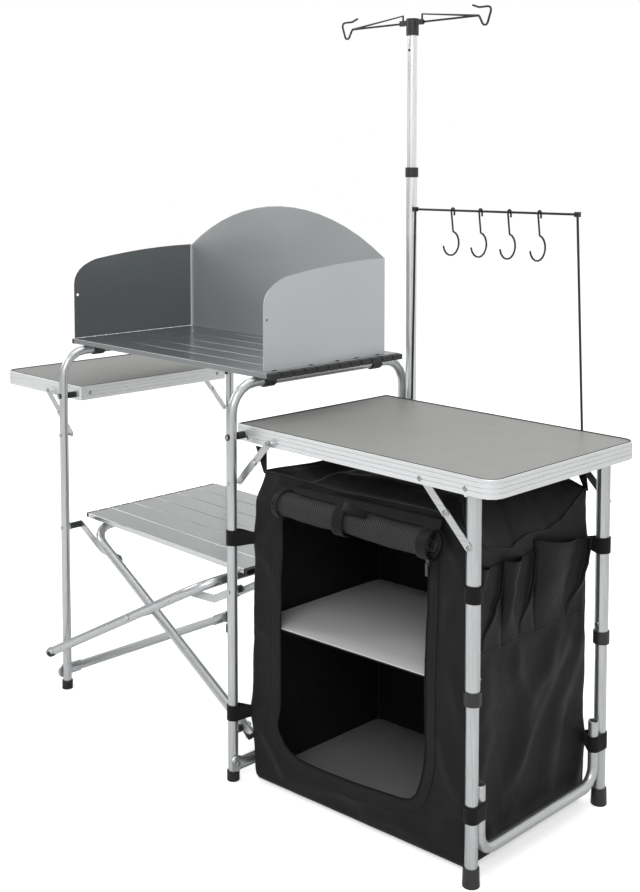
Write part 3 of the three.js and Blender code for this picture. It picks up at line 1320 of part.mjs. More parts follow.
// The bag's bulk: straight walls under a top that rises to a crown, set in from the walls by inset.
function bagBulk(inset) {
  const walls = plate(bagPlan(inset), BAG_BOTTOM + inset, BAG_TOP - inset, 2);
  const crown = plate(bagPlan(BAG_CROWN_INSET + inset), BAG_TOP - inset, BAG_CROWN - inset, 2);
  return wasm.Manifold.hull([walls, crown]);
}

function cupboard() {
  const doorway = (grow) => standing(
    outline(DOOR_LEFT - grow, DOOR_BOTTOM - grow, DOOR_RIGHT + grow, DOOR_TOP + grow, [
      DOOR_CORNER + grow,
      DOOR_CORNER + grow,
      DOOR_CORNER / 3 + grow,
      DOOR_CORNER / 3 + grow,
    ]),
    BAG_LEFT_FRONT - CUT_OVERRUN,
    BAG_RIGHT_FRONT + 2 * BAG_WALL,
  );
  const rim = cut(
    plate(bagPlan(-DOOR_RIM_STAND), BAG_BOTTOM, BAG_TOP, 2),
    plate(bagPlan(BAG_WALL / 2), 0, BAG_CROWN, 2),
  ).intersect(doorway(DOOR_RIM_WIDTH));
  const ledgeTop = SHELF_BOARD_HEIGHT - SHELF_BOARD_THICKNESS - SEAT_GAP;
  const ledge = cut(
    plate(bagPlan(BAG_WALL / 2), ledgeTop - BAG_WALL, ledgeTop, 2),
    plate(bagPlan(BAG_LEDGE_WIDTH), ledgeTop - 2 * BAG_WALL, ledgeTop + BAG_WALL, 2),
  );
  const pocketSpan = BAG_RIGHT_REAR - BAG_RIGHT_FRONT - 2 * POCKET_MARGIN;
  const pocketMiddle = (BAG_RIGHT_REAR + BAG_RIGHT_FRONT) / 2;
  const pocketPitch = pocketSpan / POCKET_COUNT;
  const pockets = Array.from({ length: POCKET_COUNT }, (_, i) => {
    const y = pocketMiddle + (i - (POCKET_COUNT - 1) / 2) * pocketPitch;
    const mouth = pocketPitch / 2 - BAG_WALL;
    const profile = new THREE.Shape([
      new THREE.Vector2(0, POCKET_TOP - POCKET_HEIGHT),
      new THREE.Vector2(POCKET_DEPTH, POCKET_TOP - POCKET_HEIGHT / 3),
      new THREE.Vector2(POCKET_DEPTH, POCKET_TOP),
      new THREE.Vector2(POCKET_DEPTH - BAG_WALL / 2, POCKET_TOP),
      new THREE.Vector2(0, POCKET_TOP - POCKET_HEIGHT / 3),
    ]);
    const bulge = standing(profile, y - mouth, y + mouth);
    return bulge.translate([BAG_RIGHT - BAG_WALL / 2, 0, 0]);
  });
  let shell = cut(join(bagBulk(0), rim, ...pockets), bagBulk(BAG_WALL));
  shell = cut(join(shell, ledge), doorway(0));
  for (const s of [-1, 1]) {
    const wall = s < 0 ? bagFrontAt : bagRearAt;
    const corner = (x) => new THREE.Vector2(x, wall(x) - s * BAG_WALL);
    for (const z of FRAME_STRAP_HEIGHTS) {
      const loop = strapLoop(
        FRAME_HALF_SPAN,
        s * FRAME_HALF_DEPTH,
        z,
        FRAME_TUBE_RADIUS,
        corner(BAG_LEFT + BAG_CORNER),
      );
      shell = join(shell, loop);
    }
    for (const z of LEG_STRAP_HEIGHTS) {
      const low = z < LEG_RAIL_TOP;
      const radius = low ? LEG_LOWER_RADIUS : LEG_UPPER_RADIUS;
      const wrap = low ? 2 * LEG_RAIL_RADIUS + SEAT_GAP : 0;
      const end = corner(BAG_RIGHT - BAG_CORNER);
      const loop = strapLoop(LEG_X, s * LEG_HALF_DEPTH, z, radius, end, -s * wrap);
      shell = join(shell, loop);
    }
  }
  piece("cupboard_shell", shell, "fabric");
  const board = (top) => plate(
    bagPlan(BAG_WALL + SEAT_GAP),
    top - SHELF_BOARD_THICKNESS,
    top,
    2,
  );
  piece("cupboard_shelf_mid", board(SHELF_BOARD_HEIGHT), "board");
  piece(
    "cupboard_shelf_base",
    board(BAG_BOTTOM + BAG_WALL + SEAT_GAP + SHELF_BOARD_THICKNESS),
    "board",
  );
  // The roll hangs in front of the wall, at the top of the doorway, and is tied at its middle.
  const rollFlat = (ROLL_RADIUS + ROLL_TIE_THICKNESS) * Math.cos(Math.PI / TUBE_SIDES);
  const proud = rollFlat + DOOR_RIM_STAND + SEAT_GAP;
  const rollAt = (x) => v3(x, bagFrontAt(x) - proud, ROLL_HEIGHT);
  const half = ROLL_TIE_WIDTH / 2;
  const roll = join(
    rod(rollAt(ROLL_LEFT), rollAt(ROLL_RIGHT), ROLL_RADIUS),
    rod(rollAt(ROLL_TIE_X - half), rollAt(ROLL_TIE_X + half), ROLL_RADIUS + ROLL_TIE_THICKNESS),
  );
  piece("cupboard_door_roll", roll, "fabric");
}

// The whole object, from the frames outwards
centralFrame("left", -1);
centralFrame("right", 1);
bottomRail("left", -1);
bottomRail("right", 1);
scissor("scissor_outer_tube", 1, outerArmY, { holes: [-FRAME_HALF_SPAN, 0], linkPost: true });
scissor("scissor_inner_tube", -1, innerArmY, { holes: [-FRAME_HALF_SPAN], crossPin: true });
for (const [s, end] of [[-1, "front"], [1, "rear"]]) {
  lockLink(`left_lock_link_${end}`, -1, s);
  lockLink(`right_lock_link_${end}`, 1, s);
}
slatDeck("slat_top", -TOP_HALF_LENGTH, TOP_HALF_LENGTH, TOP_DEPTH, TOP_HEIGHT, TOP_THICKNESS, [
  SCREEN_RIGHT + SCREEN_HINGE_OFFSET,
]);
slatDeck("lower_shelf", -SHELF_LEFT, SHELF_RIGHT, SHELF_DEPTH, SHELF_HEIGHT, SHELF_THICKNESS);
windscreenRear();
windscreenSide("windscreen_left", -1);
windscreenSide("windscreen_right", 1);
const bothSides = [-1, 1];
const legPivotPins = bothSides.map((s) => rod(
  v3(LEG_X, s * (LEG_HALF_DEPTH - LEG_UPPER_RADIUS), LEG_PIVOT_Z),
  v3(LEG_X, s * (tableHalf - APRON_WALL / 2), LEG_PIVOT_Z),
  LEG_PIVOT_PIN_RADIUS,
  WIRE_SIDES,
));
const tuckX = FRAME_HALF_SPAN - TABLE_TUCK;
const edgingMiddle = tableHalf - APRON_WALL / 2;
const stayPinEnd = stayInnerY + STAY_THICKNESS;
tableTop(
  "right",
  tuckX,
  tuckX + RIGHT_TABLE_LENGTH,
  [TABLE_SQUARE_RADIUS, TABLE_CORNER_RADIUS, TABLE_CORNER_RADIUS, TABLE_SQUARE_RADIUS],
  {
    cuts: bothSides.map((s) => pivotHole(1, s)),
    joins: [
      ...legPivotPins,
      ...bothSides.map((s) => apronPin(rightApronPinX, s, edgingMiddle, stayPinEnd)),
      ...bothSides.map((s) => apronPin(legApronPinX, s, legUpperLinkY, edgingMiddle)),
    ],
  },
);
tableTop(
  "left",
  -tuckX - LEFT_TABLE_LENGTH,
  -tuckX,
  [TABLE_CORNER_RADIUS, TABLE_SQUARE_RADIUS, TABLE_SQUARE_RADIUS, TABLE_CORNER_RADIUS],
  {
    cuts: bothSides.map((s) => pivotHole(-1, s)),
    joins: bothSides.map((s) => apronPin(leftApronPinX, s, edgingMiddle, stayPinEnd)),
  },
);
for (const [s, end] of [[-1, "front"], [1, "rear"]]) {
  tablePivot(`left_table_pivot_${end}`, -1, s);
  tablePivot(`right_table_pivot_${end}`, 1, s);
}
leftStays();
rightTableStays();
rightLegs();
lantern();
hookRail();
for (let i = 0; i < HOOK_COUNT; i++) sHook(`s_hook_${i + 1}`, HOOK_FIRST_X + i * HOOK_PITCH);
cupboard();

// The origin stands midway between the outer ends of the two tables.
root.position.x = (LEFT_TABLE_LENGTH - RIGHT_TABLE_LENGTH) / 2;

export default root;
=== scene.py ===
import math

import bmesh
import bpy
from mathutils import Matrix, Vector, noise


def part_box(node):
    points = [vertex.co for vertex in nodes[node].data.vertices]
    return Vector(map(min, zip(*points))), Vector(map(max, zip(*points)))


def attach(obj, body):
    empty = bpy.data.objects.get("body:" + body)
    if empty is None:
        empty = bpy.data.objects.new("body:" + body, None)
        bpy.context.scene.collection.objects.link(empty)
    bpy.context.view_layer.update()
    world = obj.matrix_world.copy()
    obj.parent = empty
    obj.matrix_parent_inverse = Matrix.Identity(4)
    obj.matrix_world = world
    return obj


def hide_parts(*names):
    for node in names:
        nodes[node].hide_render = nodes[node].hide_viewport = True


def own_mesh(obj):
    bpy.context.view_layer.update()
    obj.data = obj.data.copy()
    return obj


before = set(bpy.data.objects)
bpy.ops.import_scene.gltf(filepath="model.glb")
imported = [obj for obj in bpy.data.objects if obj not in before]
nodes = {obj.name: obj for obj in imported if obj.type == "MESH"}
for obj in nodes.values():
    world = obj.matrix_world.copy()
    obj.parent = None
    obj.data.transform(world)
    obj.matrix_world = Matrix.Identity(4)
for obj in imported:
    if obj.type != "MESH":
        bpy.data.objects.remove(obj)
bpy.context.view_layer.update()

# Viewpoint, floor and light
# A long lens at standing height looks down a little on the front-right corner. The floor is
# pale and the surroundings are white to the camera and in reflections, with three soft lamps.
CAMERA_PLACE = (1.8535, -1.672, 1.146)
CAMERA_YAW = 0.7999
CAMERA_PITCH = 0.0656
CAMERA_LENS = 49.48
CAMERA_SHIFT = -0.2225
FARTHEST = 60.0
scene = bpy.context.scene


def placed(name, data):
    """A new object with that data, in the scene."""
    obj = bpy.data.objects.new(name, data)
    scene.collection.objects.link(obj)
    return obj


camera_data = bpy.data.cameras.new("camera")
camera_data.lens = CAMERA_LENS
camera_data.shift_y = CAMERA_SHIFT
camera_data.clip_end = FARTHEST
camera = placed("camera", camera_data)
camera.location = CAMERA_PLACE
camera.rotation_euler = (math.pi / 2 - CAMERA_PITCH, 0.0, CAMERA_YAW)
scene.camera = camera
scene.view_settings.view_transform = "Standard"


class Look:
    """A socket of a node tree under way. Arithmetic on it adds Math nodes, node() adds any other."""

    def __init__(self, tree, socket=None):
        self.tree = tree
        self.socket = socket

    def node(self, kind, inputs=None, out=0, stops=None, **settings):
        """A new node. Its kind is of the tree's own family, or else it is given in full."""
        family = self.tree.bl_idname.removesuffix("Tree")
        made = self.tree.nodes.new(kind if "Node" in kind else family + kind)
        for key, value in settings.items():
            setattr(made, key, value)
        for element, (place, colour) in zip(made.color_ramp.elements if stops else (), stops or ()):
            element.position = place
            element.color = (*colour, 1.0)
        for key, value in (inputs or {}).items():
            if isinstance(value, Look):
                self.tree.links.new(value.socket, made.inputs[key])
            else:
                made.inputs[key].default_value = value
        return Look(self.tree, made.outputs[out] if made.outputs else None)

    def math(self, operation, *values):
        return self.node("ShaderNodeMath", dict(enumerate(values)), operation=operation)

    def __rsub__(self, other):
        return self.math("SUBTRACT", other, self)

    def __abs__(self):
        return self.math("ABSOLUTE", self)

    def between(self, low, high):
        return (self > low) & (self < high)

    def mix(self, mask, this, that):
        """this where the mask is 0 and that where it is 1, on colours."""
        colours = [c if isinstance(c, Look) else (*c, 1.0) for c in (this, that)]
        return self.node("Mix", {0: mask, 6: colours[0], 7: colours[1]}, out=2, data_type="RGBA")

    def blend(self, mask, this, that):
        """The same on numbers."""
        return (mask * (that - this)) + this

    def noise(self, scale, detail=2.0, stretch=(1.0, 1.0, 1.0)):
        place = self.node("TexCoord", out="Object")
        wide = self.node("Mapping", {"Vector": place, "Scale": stretch})
        return self.node("TexNoise", {"Vector": wide, "Scale": scale, "Detail": detail})

    def axes(self):
        place = self.node("TexCoord", out="Object")
        return [self.node("SeparateXYZ", {0: place}, out=i) for i in range(3)]


def arithmetic(operation):
    return lambda this, that: this.math(operation, this, that)


OPERATIONS = {"add": "ADD", "sub": "SUBTRACT", "mul": "MULTIPLY", "gt": "GREATER_THAN", "lt": "LESS_THAN",
              "or": "MAXIMUM", "and": "MINIMUM"}
for sign, operation in OPERATIONS.items():
    setattr(Look, f"__{sign}__", arithmetic(operation))


def new_finish(name):
    """An empty material, and a Look to build its nodes with."""
    material = bpy.data.materials.new(name)
    material.use_nodes = True
    material.node_tree.nodes.clear()
    return material, Look(material.node_tree)


def surface(look, colour, roughness, metallic=0.0, bump=None, bump_depth=0.0, fixed=None):
    """Ends a material in one Principled shader. The bump's depth is in metres."""
    inputs = {"Base Color": colour, "Roughness": roughness, "Metallic": metallic, **(fixed or {})}
    if bump:
        inputs["Normal"] = look.node("Bump", {"Height": bump, "Distance": bump_depth})
    look.node("OutputMaterial", {"Surface": look.node("BsdfPrincipled", inputs)})


ROOM_LIGHT = 0.62
ROOM_IN_METAL = 0.92
DARK_SIDE = (-0.94, -0.34, 0.0)
DARK_SHARE = 0.62
DARK_FROM = 0.2
DARK_TO = 0.85
WHITE = (1.0, 1.0, 1.0, 1.0)
world = bpy.data.worlds.new("studio")
world.use_nodes = True
world.node_tree.nodes.clear()
sky = Look(world.node_tree)
seen, mirrored, through_glass = [
    sky.node("LightPath", out=f"Is {ray} Ray") for ray in ("Camera", "Glossy", "Transmission")
]
toward = sky.node("TexCoord", out="Generated")
facing = sky.node("VectorMath", {0: toward, 1: DARK_SIDE}, out="Value", operation="DOT_PRODUCT")
dimmed = sky.node("MapRange", {"Value": facing, "From Min": DARK_FROM, "From Max": DARK_TO})
in_metal = mirrored * ROOM_IN_METAL * (1 - dimmed * DARK_SHARE)
strength = seen | in_metal | through_glass | (1 - mirrored) * ROOM_LIGHT
backdrop = sky.node("Background", {"Color": WHITE, "Strength": strength})
sky.node("OutputWorld", {"Surface": backdrop})
scene.world = world

# For each lamp: its place, the size of its square face and its power in watts.
LAMPS = {
    "key": ((2.4, -3.2, 3.4), 2.6, 66.0),
    "left": ((-3.2, -1.6, 2.6), 2.4, 46.0),
    "top": ((0.0, 0.6, 4.2), 3.0, 46.0),
}
LAMPS_AIM = Vector((0.0, 0.0, 0.6))
for name, (place, size, power) in LAMPS.items():
    lamp_data = bpy.data.lights.new("lamp_" + name, "AREA")
    lamp_data.size = size
    lamp_data.energy = power
    lamp = placed("lamp_" + name, lamp_data)
    lamp.location = place
    lamp.rotation_euler = (LAMPS_AIM - lamp.location).to_track_quat("-Z", "Y").to_euler()

FLOOR_HALF = 12.0
FLOOR_GLOW = 0.52
FLOOR_COLOUR = (0.93, 0.93, 0.93, 1.0)
floor_mesh = bpy.data.meshes.new("floor")
floor_corners = [(x * FLOOR_HALF, y * FLOOR_HALF, 0.0) for x, y in ((-1, -1), (1, -1), (1, 1), (-1, 1))]
floor_mesh.from_pydata(floor_corners, [], [(0, 1, 2, 3)])
floor_finish, look = new_finish("floor_white")
matt = look.node("BsdfDiffuse", {"Color": FLOOR_COLOUR})
lit = look.node("Emission", {"Color": WHITE, "Strength": FLOOR_GLOW})
both = look.node("AddShader", {0: matt, 1: lit})
shown = look.node("MixShader", {0: look.node("LightPath", out="Is Camera Ray"), 1: matt, 2: both})
look.node("OutputMaterial", {"Surface": shown})
floor_mesh.materials.append(floor_finish)
placed("floor", floor_mesh)

# Aluminium tubes, legs and rails
# Drawn aluminium tube with a clear satin anodising. Plastic caps, collars, clips and spacers are
# fixed on the tubes, and show black where they sit.
TUBE_COLOUR = (0.54, 0.555, 0.56)
# Lighter than the other tubes: the poles' tone paints in their bright highlight.
POLE_PAINTED_LIGHT_COLOUR = (0.82, 0.835, 0.84)
EDGING_COLOUR = (0.76, 0.775, 0.78)
PLASTIC_COLOUR = (0.012, 0.012, 0.013)
SMOOTH_ANGLE = math.radians(38)
WELD_WITHIN = 0.00001
ALONG_X = (1, 0, 0)
ALONG_Y = (0, 1, 0)
ALONG_Z = (0, 0, 1)


def new_tree(name, **kinds):
    """A Look to build a Geometry Nodes tree with, and the tree's inputs by name."""
    tree = bpy.data.node_groups.new(name, "GeometryNodeTree")
    tree.is_modifier = True
    for label, kind in {"Geometry": "Geometry", **kinds}.items():
        tree.interface.new_socket(label, in_out="INPUT", socket_type="NodeSocket" + kind)
    tree.interface.new_socket("Geometry", in_out="OUTPUT", socket_type="NodeSocketGeometry")
    entry = tree.nodes.new("NodeGroupInput")
    return Look(tree), {s.name: Look(tree, s) for s in entry.outputs if s.name}


def end_tree(build, shape, material=None):
    """Ends a tree. A new shape has its instances made real and its material set."""
    if material:
        real = build.node("RealizeInstances", {"Geometry": shape})
        shape = build.node("SetMaterial", {"Geometry": real, "Material": material})
    leave = build.tree.nodes.new("NodeGroupOutput")
    build.tree.links.new(shape.socket, leave.inputs[0])
    return build.tree


build, given = new_tree("smooth_by_angle", Angle="Float")
whole = build.node("MergeByDistance", {"Geometry": given["Geometry"], "Distance": WELD_WITHIN})
rounded = build.node("SetShadeSmooth", {"Geometry": whole, "Shade Smooth": True})
crisp = build.node("InputMeshEdgeAngle") > given["Angle"]
to_edges = {"Geometry": rounded, "Selection": crisp, "Shade Smooth": False}
smooth_tree = end_tree(build, build.node("SetShadeSmooth", to_edges, domain="EDGE"))


def set_inputs(modifier, **values):
    """Values for a tree's named inputs, set by each socket's identifier."""
    for item in modifier.node_group.interface.items_tree:
        if item.in_out == "INPUT" and item.name in values:
            modifier[item.identifier] = values[item.name]


def dress(material, *words):
    """Gives the CAD nodes with such a word in their names a material, smooth over small facets."""
    for name, obj in nodes.items():
        if any(word in name for word in words):
            obj.data.materials.clear()
            obj.data.materials.append(material)
            modifier = obj.modifiers.new("smooth", "NODES")
            modifier.node_group = smooth_tree
            set_inputs(modifier, Angle=SMOOTH_ANGLE)


def scaled(colour, factor):
    return tuple(c * factor for c in colour)


def tube_finish(name, grain, black=None, colour=TUBE_COLOUR, shine=0.88, variety=0.12):
    """Satin aluminium with its drawing lines along grain, and black plastic where the mask says."""
    material, look = new_finish(name)
    lines = look.noise(8.0, 3.0, tuple(2.0 if g else 60.0 for g in grain))
    cloud = look.noise(9.0, 2.0)
    stops = [(0.3, scaled(colour, 1 - variety)), (0.7, scaled(colour, 1 + variety))]
    tone = look.node("ValToRGB", {"Fac": lines}, stops=stops)
    rough = (lines * 0.12) + (cloud * 0.08) + 0.20
    metal = shine
    if black:
        mask = black(*look.axes())
        speck = look.noise(900.0, 2.0)
        tone = look.mix(mask, tone, look.mix(speck, PLASTIC_COLOUR, scaled(PLASTIC_COLOUR, 2.2)))
        rough = look.blend(mask, rough, 0.46)
        metal = (1 - mask) * shine
    surface(look, tone, rough, metal, bump=lines, bump_depth=0.00004)
    return material


# Where the black pieces are: heights, and how far out from the middle plane.
CLIPS_ABOVE = 0.7
CLIPS_OUT = (0.1329, 0.1591)
LINK_SPACER_HEIGHTS = (0.3525, 0.3675)
LINK_SPACER_OUT = 0.2247
FOOT_SPACER_HEIGHTS = (0.085, 0.101)
OUTER_SPACER = (0.2441, 0.2538)
INNER_SPACER = (0.2149, 0.2249)
RAIL_SPACER_OUT = 0.219
RAIL_SPACER_DEEP = 0.0032
SCISSOR_CAPS_TO = 0.0875
CROSS_X = -0.1425
CROSS_SPACER_HALF = 0.0078
CROSS_SPACER = (0.2152, 0.2538)
UPPER_LEG_COLLAR_TO = 0.3192
LOWER_LEG_FOOT_TO = 0.0302
POLE_COLLAR_FROM = 1.1248
POLE_HUB_FROM = 1.4152


def frame_black(x, y, z):
    """The slat clips on the top run, and the link and scissor spacers on the legs."""
    clips = abs(y).between(*CLIPS_OUT) & (z > CLIPS_ABOVE)
    links = (abs(y) < LINK_SPACER_OUT) & z.between(*LINK_SPACER_HEIGHTS)
    spacers = abs(y).between(*OUTER_SPACER) | abs(y).between(*INNER_SPACER)
    return clips | links | z.between(*FOOT_SPACER_HEIGHTS) & spacers


def rail_black(face):
    """The spacers between a rail's inner face and the scissor tubes."""
    return lambda x, y, z: (abs(x - face) < RAIL_SPACER_DEEP) & (abs(y) > RAIL_SPACER_OUT)


def below(height):
    return lambda x, y, z: z < height


def above(height):
    return lambda x, y, z: z > height


def inner_scissor_black(x, y, z):
    """The caps at the foot and the spacers at the crossing."""
    return (z < SCISSOR_CAPS_TO) | (abs(x - CROSS_X) < CROSS_SPACER_HALF) & abs(y).between(*CROSS_SPACER)


dress(tube_finish("satin_tube_upright", ALONG_Z, frame_black), "frame_tube")
for rail, face in (("left_bottom_rail", 1), ("right_bottom_rail", 0)):
    dress(tube_finish("satin_" + rail, ALONG_Y, rail_black(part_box(rail)[face][0])), rail)
dress(tube_finish("satin_scissor_outer", ALONG_X, below(SCISSOR_CAPS_TO)), "scissor_outer")
dress(tube_finish("satin_scissor_inner", ALONG_X, inner_scissor_black), "scissor_inner")
dress(tube_finish("satin_upper_leg", ALONG_Z, below(UPPER_LEG_COLLAR_TO)), "right_leg_upper")
dress(tube_finish("satin_lower_leg", ALONG_Z, below(LOWER_LEG_FOOT_TO)), "right_leg_lower")
dress(tube_finish("satin_leg_rail", ALONG_Y), "right_leg_rail")
for pole, black_from in (("pole_lower", POLE_COLLAR_FROM), ("pole_upper", POLE_HUB_FROM)):
    dress(tube_finish("satin_" + pole, ALONG_Z, above(black_from), POLE_PAINTED_LIGHT_COLOUR), pole)
dress(tube_finish("satin_flat_bar", ALONG_X), "stay", "lock_link")
edging_finish = tube_finish("bright_edging", (1, 1, 0), colour=EDGING_COLOUR, shine=0.55, variety=0.03)
dress(edging_finish, "table_apron")

# Black plastic feet, pivots and clamp
# Injection-moulded nylon with a fine spark-eroded grain, pushed over the tube ends or bolted on.
# One noise is enough for it, and for some other parts.


def grainy(name, tones, scale, detail, rough, metallic=0.0, bump_depth=0.0, stretch=(1.0, 1.0, 1.0),
           fixed=None):
    """A finish with one noise: it goes over the tones, over rough from low to high, and is the bump."""
    material, look = new_finish(name)
    grain = look.noise(scale, detail, stretch)
    low, high = rough
    bump = grain if bump_depth else None
    surface(look, look.mix(grain, *tones), (grain * (high - low)) + low, metallic, bump, bump_depth, fixed)
    return material


PLASTIC_TONES = (PLASTIC_COLOUR, scaled(PLASTIC_COLOUR, 2.4))
plastic_finish = grainy(
    "black_nylon", PLASTIC_TONES, 1400.0, 2.0, (0.38, 0.52), bump_depth=0.00008,
    fixed={"Specular IOR Level": 0.22},
)
dress(plastic_finish, "foot", "table_pivot", "lantern_clamp", "lantern_button")

# Coated wire: lantern arms, hook rail and S-hooks
# Bent steel wire with a black stove coating, slightly glossy and a little uneven.
WIRE_TONES = ((0.010, 0.010, 0.011), (0.028, 0.028, 0.03))
wire_finish = grainy("black_coated_wire", WIRE_TONES, 160.0, 2.0, (0.28, 0.44), 0.15, 0.0001)
dress(wire_finish, "s_hook", "lantern_arm", "hook_rail")

# Spring buttons
# Bright nickel-plated domes of the spring clips in the telescoping tubes.
NICKEL_TONES = ((0.55, 0.54, 0.52), (0.78, 0.77, 0.75))
dress(grainy("bright_nickel", NICKEL_TONES, 300.0, 2.0, (0.12, 0.32), 0.95), "right_leg_button")

# Side-table boards
# Warm grey melamine laminate on a thin board, with a faint mottle and a fine orange-peel surface.
LAMINATE_TONES = ((0.246, 0.250, 0.236), (0.290, 0.293, 0.277))
laminate_finish, look = new_finish("grey_laminate")
fine = look.noise(900.0, 2.0)
shade = look.mix(look.noise(28.0, 5.0), *LAMINATE_TONES)
surface(look, shade, (fine * 0.12) + 0.36, bump=fine, bump_depth=0.00006)
dress(laminate_finish, "table_board")

# Slatted top and lower shelf
# Extruded aluminium channel slats with rounded edges lie side by side. Black moulded strips, made of
# one link for each half slat, hold them together at both ends.
SLATS = 6
SLAT_PITCH = 0.06083
SLAT_GAP = 0.0008
SLAT_EDGE = 0.0012
STRIP_DEEP = 0.009
STRIP_LOWER = 0.0008
LINK_GAP = 0.0028
LINK_EDGE = 0.0014
CORE_SHORTER = 0.003
CORE_THINNER = 0.004
CORE_EDGE = 0.001

sizes = dict.fromkeys(("Length", "Width", "Height", "Edge"), "Float")
build, given = new_tree("rounded_bars", Axis="Vector", **sizes, Material="Material")
half = build.node("ShaderNodeVectorMath", {0: given["Axis"], 3: given["Length"] * 0.5}, operation="SCALE")
other = build.node("ShaderNodeVectorMath", {0: half, 3: -1.0}, operation="SCALE")
core = build.node("CurvePrimitiveLine", {"Start": other, "End": half})
section = build.node("CurvePrimitiveQuadrilateral", {"Width": given["Width"], "Height": given["Height"]})
eased = build.node("FilletCurve", {"Curve": section, "Count": 3, "Radius": given["Edge"]}, mode="POLY")
bar = build.node("CurveToMesh", {"Curve": core, "Profile Curve": eased, "Fill Caps": True})
crisp = build.node("SetShadeSmooth", {"Geometry": bar, "Shade Smooth": False})
set_out = build.node("InstanceOnPoints", {"Points": given["Geometry"], "Instance": crisp})
bar_tree = end_tree(build, set_out, given["Material"])


def settle(obj):
    """Puts an object's modifiers into its mesh and removes them."""
    graph = bpy.context.evaluated_depsgraph_get()
    obj.data = bpy.data.meshes.new_from_object(obj.evaluated_get(graph))
    obj.modifiers.clear()


def grow(name, tree, points, edges=(), facing=None, **values):
    """What a tree makes of points, and edges between them, as one plain mesh."""
    mesh = bpy.data.meshes.new(name)
    mesh.from_pydata([tuple(p) for p in points], edges, [])
    if facing:
        directions = mesh.attributes.new("facing", "FLOAT_VECTOR", "POINT")
        for number, direction in enumerate(facing):
            directions.data[number].vector = direction
    obj = placed(name, mesh)
    modifier = obj.modifiers.new("tree", "NODES")
    modifier.node_group = tree
    set_inputs(modifier, **values)
    settle(obj)
    return obj


def carried(piece, body):
    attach(piece, body)
    return piece


def bars(name, places, axis, size, edge, material, body):
    """Bars of one length, width and height about places, on a body."""
    length, width, height = size
    sizes = {"Length": length, "Width": width, "Height": height, "Edge": edge}
    return carried(grow(name, bar_tree, places, Axis=axis, **sizes, Material=material), body)


def slat_finish(name, *tones):
    """Anodised aluminium, brushed along the slats."""
    return grainy(name, tones, 10.0, 3.0, (0.16, 0.32), 0.9, 0.00003, stretch=(2.0, 90.0, 90.0))


STRIP_TONES = (PLASTIC_COLOUR, scaled(PLASTIC_COLOUR, 2.2))
strip_finish = grainy("black_end_strip", STRIP_TONES, 1100.0, 2.0, (0.36, 0.52), bump_depth=0.00008)


def deck(node, low, high, top, thickness, finish):
    """Slats from x low to x high about the crossing, and the links and cores of both end strips."""
    low += CROSS_X
    high += CROSS_X
    slat_high = thickness - STRIP_LOWER
    slats = [((low + high) / 2, SLAT_PITCH * (i - (SLATS - 1) / 2), top - slat_high / 2)
             for i in range(SLATS)]
    size = (high - low - 2 * STRIP_DEEP, SLAT_PITCH - SLAT_GAP, slat_high)
    row = bars(node + "_slats", slats, ALONG_X, size, SLAT_EDGE, finish, node)
    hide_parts(node)
    ends = (low + STRIP_DEEP / 2, high - STRIP_DEEP / 2)
    strip_z = top - STRIP_LOWER - slat_high / 2
    links = [(x, SLAT_PITCH / 2 * (i - SLATS + 0.5), strip_z) for x in ends for i in range(2 * SLATS)]
    size = (STRIP_DEEP, SLAT_PITCH / 2 - LINK_GAP, slat_high)
    bars(node + "_end_strips", links, ALONG_X, size, LINK_EDGE, strip_finish, node)
    cores = [(x, 0.0, strip_z) for x in ends]
    size = (STRIP_DEEP - CORE_SHORTER, SLAT_PITCH * SLATS - CORE_THINNER, slat_high - CORE_THINNER)
    bars(node + "_strip_cores", cores, ALONG_X, size, CORE_EDGE, strip_finish, node)


# Painted shade and light: one slat material, a darker copy for the top and a lighter copy for the lower
# shelf.
painted_shade_slat = slat_finish("painted_shade_slat", (0.27, 0.285, 0.29), (0.36, 0.375, 0.38))
painted_light_slat = slat_finish("painted_light_slat", (0.55, 0.565, 0.57), (0.67, 0.685, 0.69))
deck("slat_top", low=-0.330, high=0.330, top=0.766, thickness=0.0118, finish=painted_shade_slat)
deck("lower_shelf", low=-0.281, high=0.263, top=0.383, thickness=0.0108, finish=painted_light_slat)

# Windscreen
# Thin aluminium sheet with a grey satin coating, three leaves on piano hinges. All three have one coating,
# painted in a tone for each leaf: darkest on the left leaf for the shade its inner face sits in, lightest on
# the lit right leaf. Small black tabs hold the foot of the right leaf on the slats.
LEAF_FOOT = 0.766
KNUCKLES = 8
KNUCKLE_PITCH = 0.0244
KNUCKLE_SIZE = (0.0230, 0.0044, 0.0044)
KNUCKLE_EDGE = 0.0021
HINGE_BACK = 0.15345
HINGE_SIDES = (CROSS_X - 0.325, CROSS_X + 0.303)
TAB_X = 0.1641
TAB_PLACES = (-0.150, -0.055, 0.017, 0.070, 0.132)
TAB_SIZE = (0.009, 0.0016, 0.0010)
TAB_EDGE = 0.0003
TAB_RISE = 0.0006


def coat(leaf, *tones, shine=0.6):
    """Gives a leaf its coated sheet, in tones that paint how much light falls on that leaf."""
    material, look = new_finish("painted_light_sheet_" + leaf)
    cloud = look.noise(5.0, 3.0)
    fine = look.noise(700.0, 2.0)
    rough = (cloud * 0.1) + (fine * 0.06) + 0.26
    surface(look, look.mix(cloud, *tones), rough, shine, bump=fine, bump_depth=0.00003)
    dress(material, "windscreen_" + leaf)
